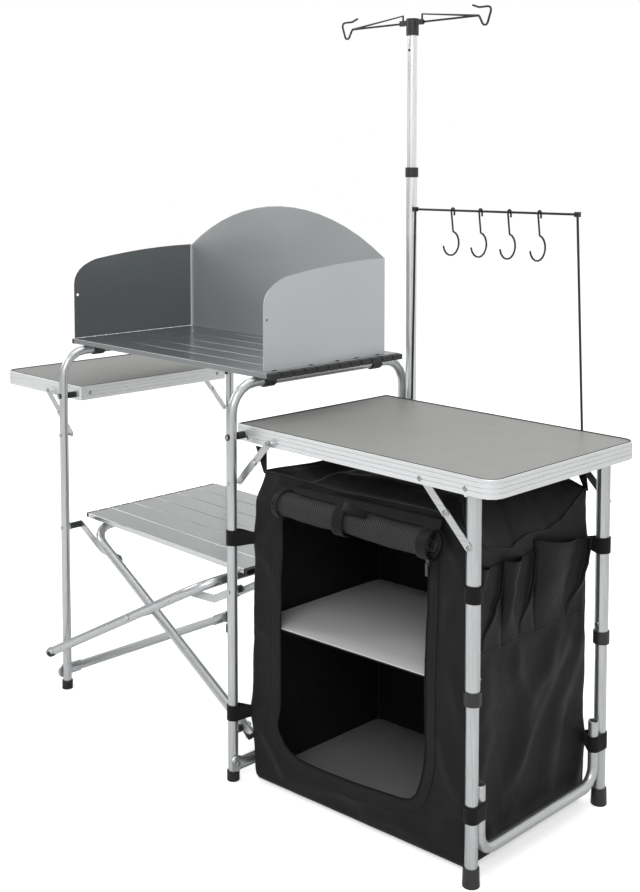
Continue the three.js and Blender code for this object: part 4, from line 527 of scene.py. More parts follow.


# Painted light and shade: one coating in three tones, darkest on the shaded left leaf, lightest on the lit
# right leaf.
coat("rear", (0.40, 0.42, 0.425), (0.48, 0.50, 0.505))
coat("right", (0.54, 0.565, 0.57), (0.62, 0.645, 0.65))
coat("left", (0.19, 0.205, 0.21), (0.25, 0.265, 0.27), shine=0.85)
HINGE_TONES = ((0.52, 0.53, 0.53), (0.80, 0.81, 0.81))
hinge_finish = grainy("bright_hinge", HINGE_TONES, 190.0, 3.0, (0.14, 0.34), 0.92)
knuckle_heights = [LEAF_FOOT + KNUCKLE_PITCH * (i + 0.5) for i in range(KNUCKLES)]
knuckles = [(x, HINGE_BACK, z) for x in HINGE_SIDES for z in knuckle_heights]
bars(
    "windscreen_knuckles", knuckles, ALONG_Z, KNUCKLE_SIZE, KNUCKLE_EDGE, hinge_finish,
    "slat_top",
)
tabs = [(TAB_X, y, LEAF_FOOT + TAB_RISE) for y in TAB_PLACES]
bars("windscreen_foot_tabs", tabs, ALONG_Y, TAB_SIZE, TAB_EDGE, strip_finish, "slat_top")

# Lips of the side tables
# The extruded edging ends in a rounded bead above the laminate, and a thin dark bead runs round the
# board inside it.
TABLE_HALF_DEPTH = 0.2055
TABLE_TOP = 0.6680
TABLE_BEND = 0.026
FRAME_END_BEND = 0.003
TIGHTEST_BEND = 0.0005
BEND_STEPS = 8

build, given = new_tree("bead_along_edge", Radius="Float", Material="Material")
path = build.node("MeshToCurve", {"Mesh": given["Geometry"]})
ring = build.node("CurvePrimitiveCircle", {"Resolution": 10, "Radius": given["Radius"]})
bead = build.node("CurveToMesh", {"Curve": path, "Profile Curve": ring})
bead_tree = end_tree(build, bead, given["Material"])


def greys(dark, pale):
    return (dark,) * 3, (pale,) * 3


def table_edge(side, inset, height):
    """Places round a table's edge, that far in from it. The corners at the frame are tight."""
    low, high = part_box(side + "_table_apron")
    outer = 1 if side == "right" else -1
    corners = []
    for x_side, y_side in ((-1, -1), (1, -1), (1, 1), (-1, 1)):
        bend = max((TABLE_BEND if x_side == outer else FRAME_END_BEND) - inset, TIGHTEST_BEND)
        x = (low[0] + inset + bend) if x_side < 0 else (high[0] - inset - bend)
        y = y_side * (TABLE_HALF_DEPTH - inset - bend)
        first = math.atan2(y_side, x_side) - math.pi / 4
        turns = [first + math.pi / 2 * k / BEND_STEPS for k in range(BEND_STEPS + 1)]
        corners += [(x + bend * math.cos(t), y + bend * math.sin(t), height) for t in turns]
    return corners


dark_bead_finish = grainy("thin_dark_bead", greys(0.006, 0.014), 900.0, 2.0, (0.5, 0.7))
# For each of the two: how far in from the edge, its radius, how far over the table's top, its look
# and its slot.
EDGES = {
    "lip": (0.0014, 0.0015, -0.0008, edging_finish, "aluminium_edging"),
    "inner_bead": (0.0037, 0.0009, 0.0002, dark_bead_finish, "black_plastic"),
}
for side, body in (("left", "left_table"), ("right", "right_end")):
    for name, (inset, radius, rise, finish, slot) in EDGES.items():
        places = table_edge(side, inset, TABLE_TOP + rise)
        edges = [(i, (i + 1) % len(places)) for i in range(len(places))]
        piece = grow(f"{side}_table_{name}", bead_tree, places, edges, Radius=radius, Material=finish)
        carried(piece, body)

# Rivets
# Bright domed rivets hold the stays, the legs and the pivots on the edging and on the frame.
RIVET_RADIUS = 0.0046
RIVET_RISE = 0.0020
# For each body: its rivets over x, y and z on the rear side, which the front side repeats.
SIDE_RIVETS = {
    "right_end": ((0.1405, 0.2473, 0.650), (0.152, 0.2055, 0.646), (0.2193, 0.2186, 0.6468),
                  (0.5727, 0.2055, 0.6468), (0.6665, 0.2055, 0.648)),
    "left_frame": ((-0.4255, 0.2473, 0.650),),
    "left_table": ((-0.5214, 0.2151, 0.6469),),
    "left_stays_lower": ((-0.473, 0.2170, 0.605),),
    "right_stays_lower": ((0.620, 0.1990, 0.5992), (0.6673, 0.1969, 0.5516)),
}
# The left table has two more at its end by the frame, at this x, at y to both sides, and z.
END_RIVETS = (-0.4055, 0.18, 0.653)

build, given = new_tree("domed_rivets", Radius="Float", Rise="Float", Material="Material")
ball = build.node("MeshUVSphere", {"Segments": 14, "Rings": 8, "Radius": 1.0})
shape = build.node("ShaderNodeCombineXYZ", {0: given["Radius"], 1: given["Radius"], 2: given["Rise"]})
dome = build.node("Transform", {"Geometry": ball, "Scale": shape})
smooth = build.node("SetShadeSmooth", {"Geometry": dome, "Shade Smooth": True})
outward = build.node("InputNamedAttribute", {"Name": "facing"}, data_type="FLOAT_VECTOR")
turned = build.node("FunctionNodeAlignRotationToVector", {"Vector": outward}, axis="Z")
scattered = {"Points": given["Geometry"], "Instance": smooth, "Rotation": turned}
rivet_tree = end_tree(build, build.node("InstanceOnPoints", scattered), given["Material"])

rivet_finish = grainy("steel_rivet", greys(0.30, 0.44), 420.0, 2.0, (0.12, 0.27), 0.95)
for body, places in SIDE_RIVETS.items():
    points = [(x, side * y, z) for x, y, z in places for side in (-1, 1)]
    ways = [(0.0, side, 0.0) for place in places for side in (-1, 1)]
    if body == "left_table":
        x, y, z = END_RIVETS
        points += [(x, -y, z), (x, y, z)]
        ways += [(1.0, 0.0, 0.0)] * 2
    dome = {"Radius": RIVET_RADIUS, "Rise": RIVET_RISE, "Material": rivet_finish}
    carried(grow(body + "_rivets", rivet_tree, points, facing=ways, **dome), body)

# Soft cupboard: shell
# A woven polyester bag hung between four legs. Its boards push the walls out, the cloth between
# them sags and creases towards the straps, and its top seam dips along the right-hand wall.
BAG_LEFT = CROSS_X + 0.311
BAG_RIGHT = CROSS_X + 0.784
BAG_CORNERS = ((BAG_LEFT, -0.208), (BAG_RIGHT, -0.163), (BAG_RIGHT, 0.172), (BAG_LEFT, 0.132))
BAG_MIDDLE = ((BAG_LEFT + BAG_RIGHT) / 2, -0.015)
BAG_LOW = 0.006
BAG_BEND = 0.007
SOLE_BEND = 0.004
BOARD_LEVELS = (0.012, 0.304)
BOARD_HOLDS = 0.03
SWELL_TOP = 0.58
FRONT_SAG = 0.0045
WALL_SAG = 0.008
CLOTH = 0.0014
CELLS_ACROSS = 64
CELLS_DEEP = 56
CELLS_HIGH = 80
CELLS_BEND = 4
# The top seam's height: over x on the front wall, over y on the right-hand wall, and over the share
# of the way along the hidden walls.
RIM_FRONT = ((0.311, 0.592), (0.346, 0.594), (0.455, 0.589), (0.518, 0.585), (0.605, 0.587),
             (0.688, 0.588), (0.728, 0.587), (0.772, 0.570))
RIM_RIGHT = ((-0.151, 0.552), (-0.125, 0.539), (-0.112, 0.526), (-0.082, 0.519), (-0.046, 0.513),
             (-0.028, 0.521), (-0.003, 0.526), (0.028, 0.524), (0.057, 0.522), (0.087, 0.530),
             (0.117, 0.546), (0.141, 0.562), (0.160, 0.574))
RIM_HIDDEN = ((0.05, 0.576), (0.2, 0.566), (0.4, 0.572), (0.55, 0.584), (0.8, 0.575), (1.0, 0.592))
# How far the front left corner stands in from its plan, by height: its strap pulls it up and in.
PINCH = ((0.006, 0.004), (0.026, 0.0), (0.134, -0.006), (0.343, -0.002), (0.528, 0.006), (0.594, 0.032))
PINCH_REACH = 0.16
STRAP_HEIGHTS = {"left": (0.130, 0.462), "right": (0.119, 0.476)}
STRAP_DRAWS = 0.004
STRAP_DRAWS_HIGH = 0.024
STRAP_DRAWS_WIDE = 0.03
UNEVEN = 0.0016
FINE_UNEVEN = 0.0006
# Creases on the front (x, z) and right-hand wall (y, z), each with a height and a half width.
FRONT_CREASES = (
    (((0.311, 0.122), (0.340, 0.104), (0.372, 0.062), (0.396, 0.026)), 0.0104, 0.013),
    (((0.311, 0.135), (0.344, 0.148), (0.372, 0.186)), 0.0066, 0.011),
    (((0.311, 0.300), (0.344, 0.288), (0.374, 0.300)), 0.0038, 0.009),
    (((0.311, 0.464), (0.346, 0.476), (0.376, 0.512)), 0.0076, 0.011),
    (((0.311, 0.452), (0.348, 0.428), (0.374, 0.376)), 0.0057, 0.013),
    (((0.316, 0.540), (0.345, 0.556), (0.372, 0.592)), 0.0076, 0.011),
    (((0.346, 0.596), (0.375, 0.572), (0.430, 0.562), (0.520, 0.570)), 0.0066, 0.010),
    (((0.400, 0.018), (0.480, 0.043), (0.560, 0.052), (0.640, 0.060), (0.706, 0.078)), 0.0076, 0.014),
    (((0.560, 0.024), (0.640, 0.034), (0.730, 0.028)), 0.0053, 0.013),
    (((0.784, 0.119), (0.752, 0.146), (0.728, 0.220)), 0.0085, 0.014),
    (((0.784, 0.108), (0.748, 0.084), (0.716, 0.036)), 0.0076, 0.013),
    (((0.784, 0.476), (0.752, 0.452), (0.736, 0.392)), 0.0076, 0.013),
    (((0.780, 0.490), (0.756, 0.524), (0.744, 0.576)), 0.0066, 0.011),
    (((0.742, 0.344), (0.760, 0.296), (0.772, 0.232)), 0.0048, 0.010),
)
RIGHT_CREASES = (
    (((0.170, 0.318), (0.094, 0.210), (0.053, 0.044)), 0.0119, 0.024),
    (((0.107, 0.330), (0.005, 0.238), (-0.035, 0.086)), 0.0112, 0.024),
    (((0.137, 0.352), (-0.021, 0.142), (-0.080, 0.080)), 0.0084, 0.018),
    (((-0.025, 0.356), (-0.034, 0.300), (-0.004, 0.246)), 0.0063, 0.014),
    (((0.109, 0.356), (0.062, 0.318), (0.040, 0.262)), 0.0063, 0.015),
    (((-0.163, 0.119), (-0.130, 0.150), (-0.096, 0.236)), 0.0084, 0.018),
    (((-0.163, 0.108), (-0.120, 0.070), (-0.090, 0.024)), 0.0070, 0.017),
    (((0.172, 0.119), (0.140, 0.138), (0.112, 0.168)), 0.0063, 0.014),
    (((0.172, 0.110), (0.150, 0.070), (0.138, 0.026)), 0.0063, 0.016),
    (((-0.118, 0.340), (-0.112, 0.270), (-0.128, 0.196)), 0.0063, 0.020),
)


def shares(count):
    """count + 1 even steps from 0 to 1."""
    return [i / count for i in range(count + 1)]


def clamp(value):
    return min(max(value, 0.0), 1.0)


def ease(value, low, high):
    """0 below low and 1 above high, with a smooth rise between them."""
    share = clamp((value - low) / (high - low))
    return share * share * (3.0 - 2.0 * share)


def arch(share):
    """Up from 0 and down again to 0 at 1."""
    return math.sin(math.pi * clamp(share))


def bell(distance, width):
    return math.exp(-((distance / width) ** 2))


def through(places, value):
    """The height at value on a smooth line through (value, height) places."""
    for (start, low), (end, high) in zip(places, places[1:]):
        if value <= end:
            return low + (high - low) * ease(value, start, end)
    return places[-1][1]


def rounded_corner(first, corner, last, t):
    """A place on the smooth bend from first to last about a corner."""
    return first * (1 - t) ** 2 + corner * 2 * t * (1 - t) + last * t * t


def ridge(creases, across, up):
    """How far soft creases stand out of a wall at a place on it."""
    height = 0.0
    here = Vector((across, up))
    for places, stand, width in creases:
        points = [Vector(p) for p in places]
        total = sum((b - a).length for a, b in zip(points, points[1:]))
        gone = 0.0
        nearest = []
        for a, b in zip(points, points[1:]):
            line = b - a
            share = clamp((here - a).dot(line) / line.length_squared)
            nearest.append(((here - a - line * share).length, (gone + share * line.length) / total))
            gone += line.length
        distance, along = min(nearest, key=lambda pair: pair[0])
        if distance < 3.0 * width:
            height += stand * bell(distance, width) * math.sin(math.pi * along) ** 0.6
    return height


sides = []
gone = 0.0
for number, start in enumerate(BAG_CORNERS):
    start = Vector(start)
    end = Vector(BAG_CORNERS[(number + 1) % 4])
    along = (end - start).normalized()
    length = (end - start).length
    out = Vector((along.y, -along.x))
    sides.append({"start": start, "end": end, "along": along, "out": out, "length": length, "run": gone})
    gone += length
front_side = sides[0]
right_side = sides[1]
hidden = sides[2]["run"]
rim_places = [(x + CROSS_X - BAG_LEFT, z) for x, z in RIM_FRONT]
rim_places += [(right_side["run"] + y - BAG_CORNERS[1][1], z) for y, z in RIM_RIGHT]
rim_places += [(hidden + share * (gone - hidden), z) for share, z in RIM_HIDDEN]


def rim_high(node):
    return through(rim_places, node[2])


def wall_node(number, share):
    """A place along a side of the bag from above: its point, its outward direction and its run."""
    side = sides[number]
    distance = BAG_BEND + share * (side["length"] - 2.0 * BAG_BEND)
    return side["start"] + side["along"] * distance, side["out"], side["run"] + distance


def corner_node(number, t):
    """The same on the bend at the side's end."""
    side = sides[number % 4]
    after = sides[(number + 1) % 4]
    first = side["end"] - side["along"] * BAG_BEND
    last = side["end"] + after["along"] * BAG_BEND
    out = (side["out"] * (1 - t) + after["out"] * t).normalized()
    run = side["run"] + side["length"] + (t * 2 - 1) * BAG_BEND
    return rounded_corner(first, side["end"], last, t), out, run


def hang(node, z):
    """Where a place on the walls comes to hang, once it sags, creases and is pulled by the straps."""
    point, out, run = node
    low, mid = BOARD_LEVELS
    side = [s for s in sides if s["run"] <= max(run, 0.0) + 1e-9][-1]
    along = (run - side["run"]) / side["length"]
    swell = arch((z - low) / (mid - low)) + 0.9 * arch((z - mid) / (SWELL_TOP - mid))
    stand = -(FRONT_SAG if side is front_side else WALL_SAG) * swell * arch(along) ** 0.8
    free = min(1.0, abs(z - low) / BOARD_HOLDS, abs(z - mid) / BOARD_HOLDS)
    place = Vector((point.x, point.y, z))
    stand += free * UNEVEN * noise.noise(place * 21.0) + free * FINE_UNEVEN * noise.noise(place * 70.0)
    if side is front_side:
        stand += ridge(FRONT_CREASES, point.x - CROSS_X, z) * arch(along) ** 0.3
    elif side is right_side:
        stand += ridge(RIGHT_CREASES, point.y, z) * arch(along) ** 0.3
    away = [(Vector(corner) - point).length for corner in BAG_CORNERS]
    reach = min(away)
    for height in STRAP_HEIGHTS["left" if away.index(reach) in (0, 3) else "right"]:
        stand += STRAP_DRAWS * bell(z - height, STRAP_DRAWS_HIGH) * bell(reach, STRAP_DRAWS_WIDE)
    below_bend = max(BAG_LOW + SOLE_BEND - z, 0.0)
    stand -= SOLE_BEND - math.sqrt(max(SOLE_BEND**2 - below_bend**2, 0.0))
    moved = point + out * stand
    pull = 1.0 - ease(away[0], 0.0, PINCH_REACH)
    return Vector((moved.x + through(PINCH, z) * pull, moved.y, z))


def front_at(x, z):
    """The hung place on the front panel over x and z."""
    distance = (x - BAG_LEFT) / front_side["along"].x
    return hang(wall_node(0, (distance - BAG_BEND) / (front_side["length"] - 2.0 * BAG_BEND)), z)


def right_at(y, z):
    """The hung place on the right-hand wall over y and z."""
    distance = y - BAG_CORNERS[1][1]
    return hang(wall_node(1, (distance - BAG_BEND) / (right_side["length"] - 2.0 * BAG_BEND)), z)


def turn_outward(mesh):
    made = bmesh.new()
    made.from_mesh(mesh)
    bmesh.ops.recalc_face_normals(made, faces=made.faces)
    made.to_mesh(mesh)
    made.free()


def thicken(obj, thickness, offset=0.0):
    modifier = obj.modifiers.new("thickness", "SOLIDIFY")
    modifier.thickness = thickness
    modifier.offset = offset
    settle(obj)
    turn_outward(obj.data)


class Cloth:
    """A sheet under way: its points are shared where they meet, and quads join them."""

    def __init__(self):
        self.points = []
        self.faces = []
        self.known = {}

    def point(self, place):
        key = tuple(round(c, 5) for c in place)
        if key not in self.known:
            self.known[key] = len(self.points)
            self.points.append(tuple(place))
        return self.known[key]

    def grid(self, rows, closed=False):
        """Quads between each row of places and the next."""
        numbers = [[self.point(place) for place in row] for row in rows]
        for below, above in zip(numbers, numbers[1:]):
            for i in range(len(below) - (0 if closed else 1)):
                k = (i + 1) % len(below)
                corners = list(dict.fromkeys((below[i], below[k], above[k], above[i])))
                if len(corners) > 2:
                    self.faces.append(corners)
        return self

    def made(self, name, material, thickness=0.0, offset=0.0):
        """The sheet as an object, thickened, with its faces outward and smooth."""
        mesh = bpy.data.meshes.new(name)
        mesh.from_pydata(self.points, [], self.faces)
        obj = placed(name, mesh)
        turn_outward(mesh)
        if thickness:
            thicken(obj, thickness, offset)
        obj.data.materials.clear()
        obj.data.materials.append(material)
        obj.data.shade_smooth()
        return obj


# The doorway's edge over x and z: the foot, the right side, the head and the left side.
DOOR_FOOT = ((0.3885, 0.0905), (0.403, 0.081), (0.438, 0.072), (0.541, 0.072), (0.625, 0.078),
             (0.666, 0.083), (0.684, 0.098))
DOOR_RIGHT = ((0.684, 0.098), (0.694, 0.128), (0.701, 0.175), (0.702, 0.295), (0.706, 0.448),
              (0.708, 0.552))
DOOR_HEAD = ((0.708, 0.552), (0.381, 0.556))
DOOR_LEFT = ((0.381, 0.556), (0.381, 0.500), (0.380, 0.330), (0.380, 0.173), (0.374, 0.122),
             (0.3885, 0.0905))


def spread(places, cells):
    """cells + 1 places at equal steps along a smooth line through places."""
    points = [Vector((x + CROSS_X, z)) for x, z in places]
    padded = [points[0] * 2 - points[1]] + points + [points[-1] * 2 - points[-2]]
    fine = []
    for a, b, c, d in zip(padded, padded[1:], padded[2:], padded[3:]):
        for t in shares(12)[:-1]:
            fine.append(0.5 * ((2 * b) + (c - a) * t + (2 * a - 5 * b + 4 * c - d) * t * t
                               + (3 * b - a - 3 * c + d) * t * t * t))
    fine.append(points[-1])
    lengths = [0.0]
    for a, b in zip(fine, fine[1:]):
        lengths.append(lengths[-1] + (b - a).length)
    result = []
    k = 0
    for i in range(cells + 1):
        target = lengths[-1] * i / cells
        while k < len(fine) - 2 and lengths[k + 1] < target:
            k += 1
        share = (target - lengths[k]) / max(lengths[k + 1] - lengths[k], 1e-9)
        result.append(fine[k].lerp(fine[k + 1], min(share, 1.0)))
    return result


outline = []
for number, cells in enumerate((CELLS_ACROSS, CELLS_DEEP, CELLS_ACROSS, CELLS_DEEP)):
    outline += [wall_node(number, share) for share in shares(cells)]
    outline += [corner_node(number, t) for t in shares(CELLS_BEND)[1:-1]]


def heights(node):
    """Even steps up the wall at a node, from the floor to the top seam."""
    return [BAG_LOW + (rim_high(node) - BAG_LOW) * j / CELLS_HIGH for j in range(CELLS_HIGH + 1)]


walls = Cloth()
walls.grid([[hang(node, z) for z in heights(node)] for node in outline[CELLS_ACROSS:] + outline[:1]])

# The front panel runs in rings from the doorway's edge out to the walls.
FRONT_RINGS = 16
front = outline[: CELLS_ACROSS + 1]
foot = [(node[0].x, BAG_LOW) for node in front]
right_edge = [(front[-1][0].x, z) for z in heights(front[-1])]
head = [(node[0].x, rim_high(node)) for node in reversed(front)]
left_edge = [(front[0][0].x, z) for z in reversed(heights(front[0]))]
outer = [Vector(p) for edge in (foot, right_edge, head, left_edge) for p in edge[:-1]]
door = []
for places, cells in ((DOOR_FOOT, CELLS_ACROSS), (DOOR_RIGHT, CELLS_HIGH), (DOOR_HEAD, CELLS_ACROSS),
                      (DOOR_LEFT, CELLS_HIGH)):
    door += spread(places, cells)[:-1]
rings = []
for ring in shares(FRONT_RINGS):
    flat = [a.lerp(b, ring**1.25) for a, b in zip(door, outer)]
    rings.append([front_at(p.x, p.y) for p in flat])
walls.grid(rings, closed=True)

# The top rises from the seam to a crown under the table, with long folds. The floor lies flat.
TOP_RINGS = 26
FLOOR_RINGS = 8
BAG_CROWN = 0.605
CROWN_DIP = 0.060
CROWN_DIPS_TO = (0.07, 0.18)
TOP_FOLDS = 0.006
TOP_FINE_FOLDS = 0.003
middle = Vector(BAG_MIDDLE)
seam = [hang(node, rim_high(node)) for node in outline]
top = []
for share in shares(TOP_RINGS):
    row = []
    for place in seam:
        flat = Vector((place.x, place.y)).lerp(middle, share)
        folds = TOP_FOLDS * noise.noise(Vector((flat.x * 7.0, flat.y * 24.0, 0.3)))
        folds += TOP_FINE_FOLDS * noise.noise(Vector((flat.x * 30.0, flat.y * 45.0, 1.7)))
        crown = BAG_CROWN + folds - CROWN_DIP * (1.0 - ease(flat.x - BAG_LEFT, *CROWN_DIPS_TO))
        lift = 1.0 - (1.0 - min(share / 0.3, 1.0)) ** 2
        row.append(Vector((flat.x, flat.y, place.z + (crown - place.z) * lift)))
    top.append(row)
walls.grid(top, closed=True)
sole = [hang(node, BAG_LOW) for node in outline]
centre = Vector((*BAG_MIDDLE, BAG_LOW))
walls.grid([[p.lerp(centre, share) for p in sole] for share in shares(FLOOR_RINGS)], closed=True)

# Soft cupboard: cloth finishes
# Coated polyester with a fine plain weave. The tape, webbing and binding
# are ribbed, and the rolled door is a knitted mesh with rows of small holes.
CRUMPLE = 0.0030
HOLE_PITCH = 0.0036
# Painted shade: the mesh's holes are near-black for the shade seen through them.
HOLE_PAINTED_SHADE = (0.0015, 0.0015, 0.0015)
MESH_TONES = ((0.040, 0.040, 0.040), (0.082, 0.082, 0.083))
CLOTH_GLOSS = {"Specular IOR Level": 0.17}
CLOTH_SHEEN = {"Sheen Weight": 0.06, "Sheen Roughness": 0.4}


def woven_finish(name, tones, pitch, roughness, grain_depth=0.00012, relief=0.25):
    """Threads over and under each other at a pitch, and a slow change of tone over the cloth."""
    material, look = new_finish(name)
    x, y, z = look.axes()
    turn = math.tau / pitch
    across = look.math("SINE", (x + y) * turn)
    weave = (across * look.math("SINE", z * turn) * 0.5) + 0.5
    cloud = look.noise(11.0, 5.0)
    fluff = look.noise(420.0, 2.0)
    tone = look.mix((cloud * 0.7) + (fluff * 0.3), *tones)
    tone = look.mix(weave * relief, tone, scaled(tones[0], 0.5))
    rough = (cloud * 0.14) + (fluff * 0.1) + roughness
    fine = look.node("Bump", {"Height": (weave * 0.6) + (fluff * 0.4), "Distance": grain_depth})
    rumple = look.noise(17.0, 3.0, (1.0, 1.0, 0.6))
    bump = look.node("Bump", {"Height": rumple, "Distance": CRUMPLE, "Normal": fine})
    surface(look, tone, rough, fixed={**CLOTH_GLOSS, **CLOTH_SHEEN, "Normal": bump})
    return material


CLOTH_TONES = ((0.0060, 0.0060, 0.0062), (0.0125, 0.0125, 0.0128))
THREAD_TONES = ((0.020, 0.020, 0.021), (0.045, 0.045, 0.047))
cloth_finish = woven_finish("black_polyester", CLOTH_TONES, 0.0009, 0.38)
webbing_finish = woven_finish("black_webbing", greys(0.005, 0.011), 0.0016, 0.6, 0.0003)
tape_finish = woven_finish("zipper_tape", greys(0.012, 0.034), 0.0032, 0.7, 0.0006, 0.9)
thread_finish = woven_finish("grey_thread", THREAD_TONES, 0.0006, 0.6)

mesh_finish, look = new_finish("door_mesh")
place = look.node("UVMap", out="UV", uv_map="rolled")
slant = {"Vector": place, "Rotation": (0.0, 0.0, math.pi / 4), "Scale": (1 / HOLE_PITCH,) * 3}
lattice = {"Vector": look.node("Mapping", slant), "Scale": 1.0, "Randomness": 0.0}
cell = look.node("TexVoronoi", lattice, voronoi_dimensions="2D", feature="F1", out="Distance")
hole = look.node("MapRange", {"Value": cell, "From Min": 0.32, "From Max": 0.44})
fluff = look.noise(500.0, 2.0)
cloud = look.noise(18.0, 3.0)
thread = look.mix((fluff * 0.5) + (cloud * 0.5), *MESH_TONES)
# The holes get the painted shade, the threads their own tones.
shade = look.mix(hole, HOLE_PAINTED_SHADE, thread)
surface(look, shade, (fluff * 0.2) + 0.5, bump=hole, bump_depth=0.0006, fixed=CLOTH_GLOSS)


def soft(obj, *stands_for, slot="cupboard_fabric"):
    """Hides the CAD parts the piece stands for, and carries the piece with the right-hand end."""
    if stands_for:
        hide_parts(*stands_for)
    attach(obj, "right_end")
    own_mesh(obj)
    return obj


def sewn(name, rows, material, thickness=0.0, closed=False):
    """A sheet over rows of places, as a soft piece."""
    return soft(Cloth().grid(rows, closed).made(name, material, thickness))


soft(walls.made("cupboard_cloth", cloth_finish, CLOTH, -1.0), "cupboard_shell")

# Soft cupboard: piping on the top seam
# A thin corded edge is sewn into the seam between the walls and the top, and dips with it.
PIPING_RADIUS = 0.0013
UP = Vector((0.0, 0.0, 1.0))


def piping(name, places, material):
    """A thin round cord along a line of places that ends where it starts."""
    rows = []
    for before, place, after in zip(places[-1:] + places[:-1], places, places[1:] + places[:1]):
        line = (after - before).normalized()
        aside = line.cross(UP).normalized()
        up = aside.cross(line)
        turns = [math.tau * k / 8 for k in range(8)]
        rows.append([place + (aside * math.cos(a) + up * math.sin(a)) * PIPING_RADIUS for a in turns])
    return sewn(name, rows + rows[:1], material, closed=True)


seam_line = []
for node, place in zip(outline, seam):
    seam_line.append(place + Vector((node[1].x, node[1].y, 0.4)) * PIPING_RADIUS * 0.6)
piping("cupboard_piping", seam_line, thread_finish)

# Soft cupboard: rows of stitches and zipper teeth
# Stitches and teeth repeat at an even step along a line, so one Geometry Nodes tree sets them all.
STITCH_STEP = 0.0036
STITCH_SIZE = (0.0026, 0.0006, 0.0006)
WOBBLE_SEED = 7

build, given = new_tree("row_along_line", Step="Float", Size="Vector", Uneven="Float", Material="Material")
line = build.node("MeshToCurve", {"Mesh": given["Geometry"]})
steps = build.node("ResampleCurve", {"Curve": line, "Length": given["Step"]}, mode="LENGTH")
along = build.node("InputTangent")
turned = build.node("FunctionNodeAlignRotationToVector", {"Vector": along}, axis="X")
spread_by = {2: -1.0, 3: 1.0, "Seed": WOBBLE_SEED}
wobble = build.node("FunctionNodeRandomValue", spread_by, data_type="FLOAT", out=1)
tilt = build.node("ShaderNodeCombineXYZ", {"Z": wobble * given["Uneven"]})
both = {"Rotation": turned, "Rotate By": tilt}
tilted = build.node("FunctionNodeRotateRotation", both, rotation_space="LOCAL")
block = build.node("MeshCube", {"Size": given["Size"]})
set_out = build.node("InstanceOnPoints", {"Points": steps, "Instance": block, "Rotation": tilted})
row_tree = end_tree(build, set_out, given["Material"])


def row_along(name, lines, step, size, material, uneven=0.04):
    """Small blocks of a size at an even step along each line of places, as one soft piece."""
    points = []
    edges = []
    for places in lines:
        edges += [(len(points) + i, len(points) + i + 1) for i in range(len(places) - 1)]
        points += places
    soft(grow(name, row_tree, points, edges, Step=step, Size=size, Uneven=uneven, Material=material))


def stitches(name, *lines):
    row_along(name, lines, STITCH_STEP, STITCH_SIZE, thread_finish)


# Soft cupboard: zipper round the doorway
# A ribbed tape is sewn round the foot and both sides of the doorway, with the coil at its edge and
# a slider with a hanging pull near the top of the right side.
TAPE_WIDTH = 0.019
TAPE_STAND = 0.0008
TAPE_THICK = 0.0007
# The tape's section: how far off the doorway's edge, and how far in front of the panel.
TAPE_SECTION = ((-0.0016, 0.0004), (0.0, TAPE_STAND), (0.006, TAPE_STAND + 0.0003), (0.012, TAPE_STAND),
                (TAPE_WIDTH - 0.001, TAPE_STAND), (TAPE_WIDTH, 0.0004))
TAPE_SEAMS = (0.0075, TAPE_WIDTH - 0.0022)
HEM_SEAM = TAPE_WIDTH + 0.004
TEETH_OFF = -0.0010
ON_TAPE = 0.0014
ON_PANEL = 0.0003
TOOTH_STEP = 0.0021
TOOTH_SIZE = (0.0013, 0.0022, 0.0026)
SLIDER = (0.7065 + CROSS_X, 0.500)
SLIDER_SIZE = (0.0075, 0.0042, 0.0105)
SLIDER_STAND = Vector((0.0, 0.0032, 0.0))
SLIDER_ROUND = 0.0006
PULL_SIZE = (0.0058, 0.0014, 0.022)
PULL_HANGS = Vector((0.0008, 0.0030, PULL_SIZE[2] / 2 + 0.001))
PULL_ROUND = 0.0005
ZINC_TONES = ((0.05, 0.05, 0.052), (0.13, 0.13, 0.135))


def off_door(k, off, stand):
    """A place beside the doorway's edge: off along the panel, and that far in front of it."""
    line = (door[(k + 1) % len(door)] - door[(k - 1) % len(door)]).normalized()
    place = door[k] + Vector((line.y, -line.x)) * off
    return front_at(place.x, place.y) - Vector((0.0, stand, 0.0))


def round_door(off, stand):
    """Such places from the top of the left side, round the foot, to the top of the right side."""
    left = range(2 * CELLS_ACROSS + CELLS_HIGH + 3, len(door))
    return [off_door(k, off, stand) for k in (*left, *range(CELLS_ACROSS + CELLS_HIGH - 3))]


def small_block(name, size, place, round_by):
    """A zinc box of a size about a place, with its edges rounded."""
    made = bmesh.new()
    bmesh.ops.create_cube(made, size=1.0)
    for vertex in made.verts:
        vertex.co = Vector([c * s for c, s in zip(vertex.co, size)]) + place
    bmesh.ops.bevel(made, geom=made.edges[:], offset=round_by, segments=2, affect="EDGES")
    mesh = bpy.data.meshes.new(name)
    made.to_mesh(mesh)
    made.free()
    mesh.materials.append(pull_finish)
    soft(placed(name, mesh))


sewn("zipper_tape", [round_door(off, stand) for off, stand in TAPE_SECTION], tape_finish, TAPE_THICK)
row_along("zipper_teeth", [round_door(TEETH_OFF, ON_TAPE)], TOOTH_STEP, TOOTH_SIZE, webbing_finish, 0.1)
stitches("tape_stitches", *(round_door(off, ON_TAPE) for off in TAPE_SEAMS))
stitches("hem_stitches", round_door(HEM_SEAM, ON_PANEL))
pull_finish = grainy("dark_zinc", ZINC_TONES, 240.0, 3.0, (0.3, 0.5), 0.7)
slider_place = front_at(*SLIDER) - SLIDER_STAND
small_block("zipper_slider", SLIDER_SIZE, slider_place, SLIDER_ROUND)
small_block("zipper_pull", PULL_SIZE, slider_place - PULL_HANGS, PULL_ROUND)

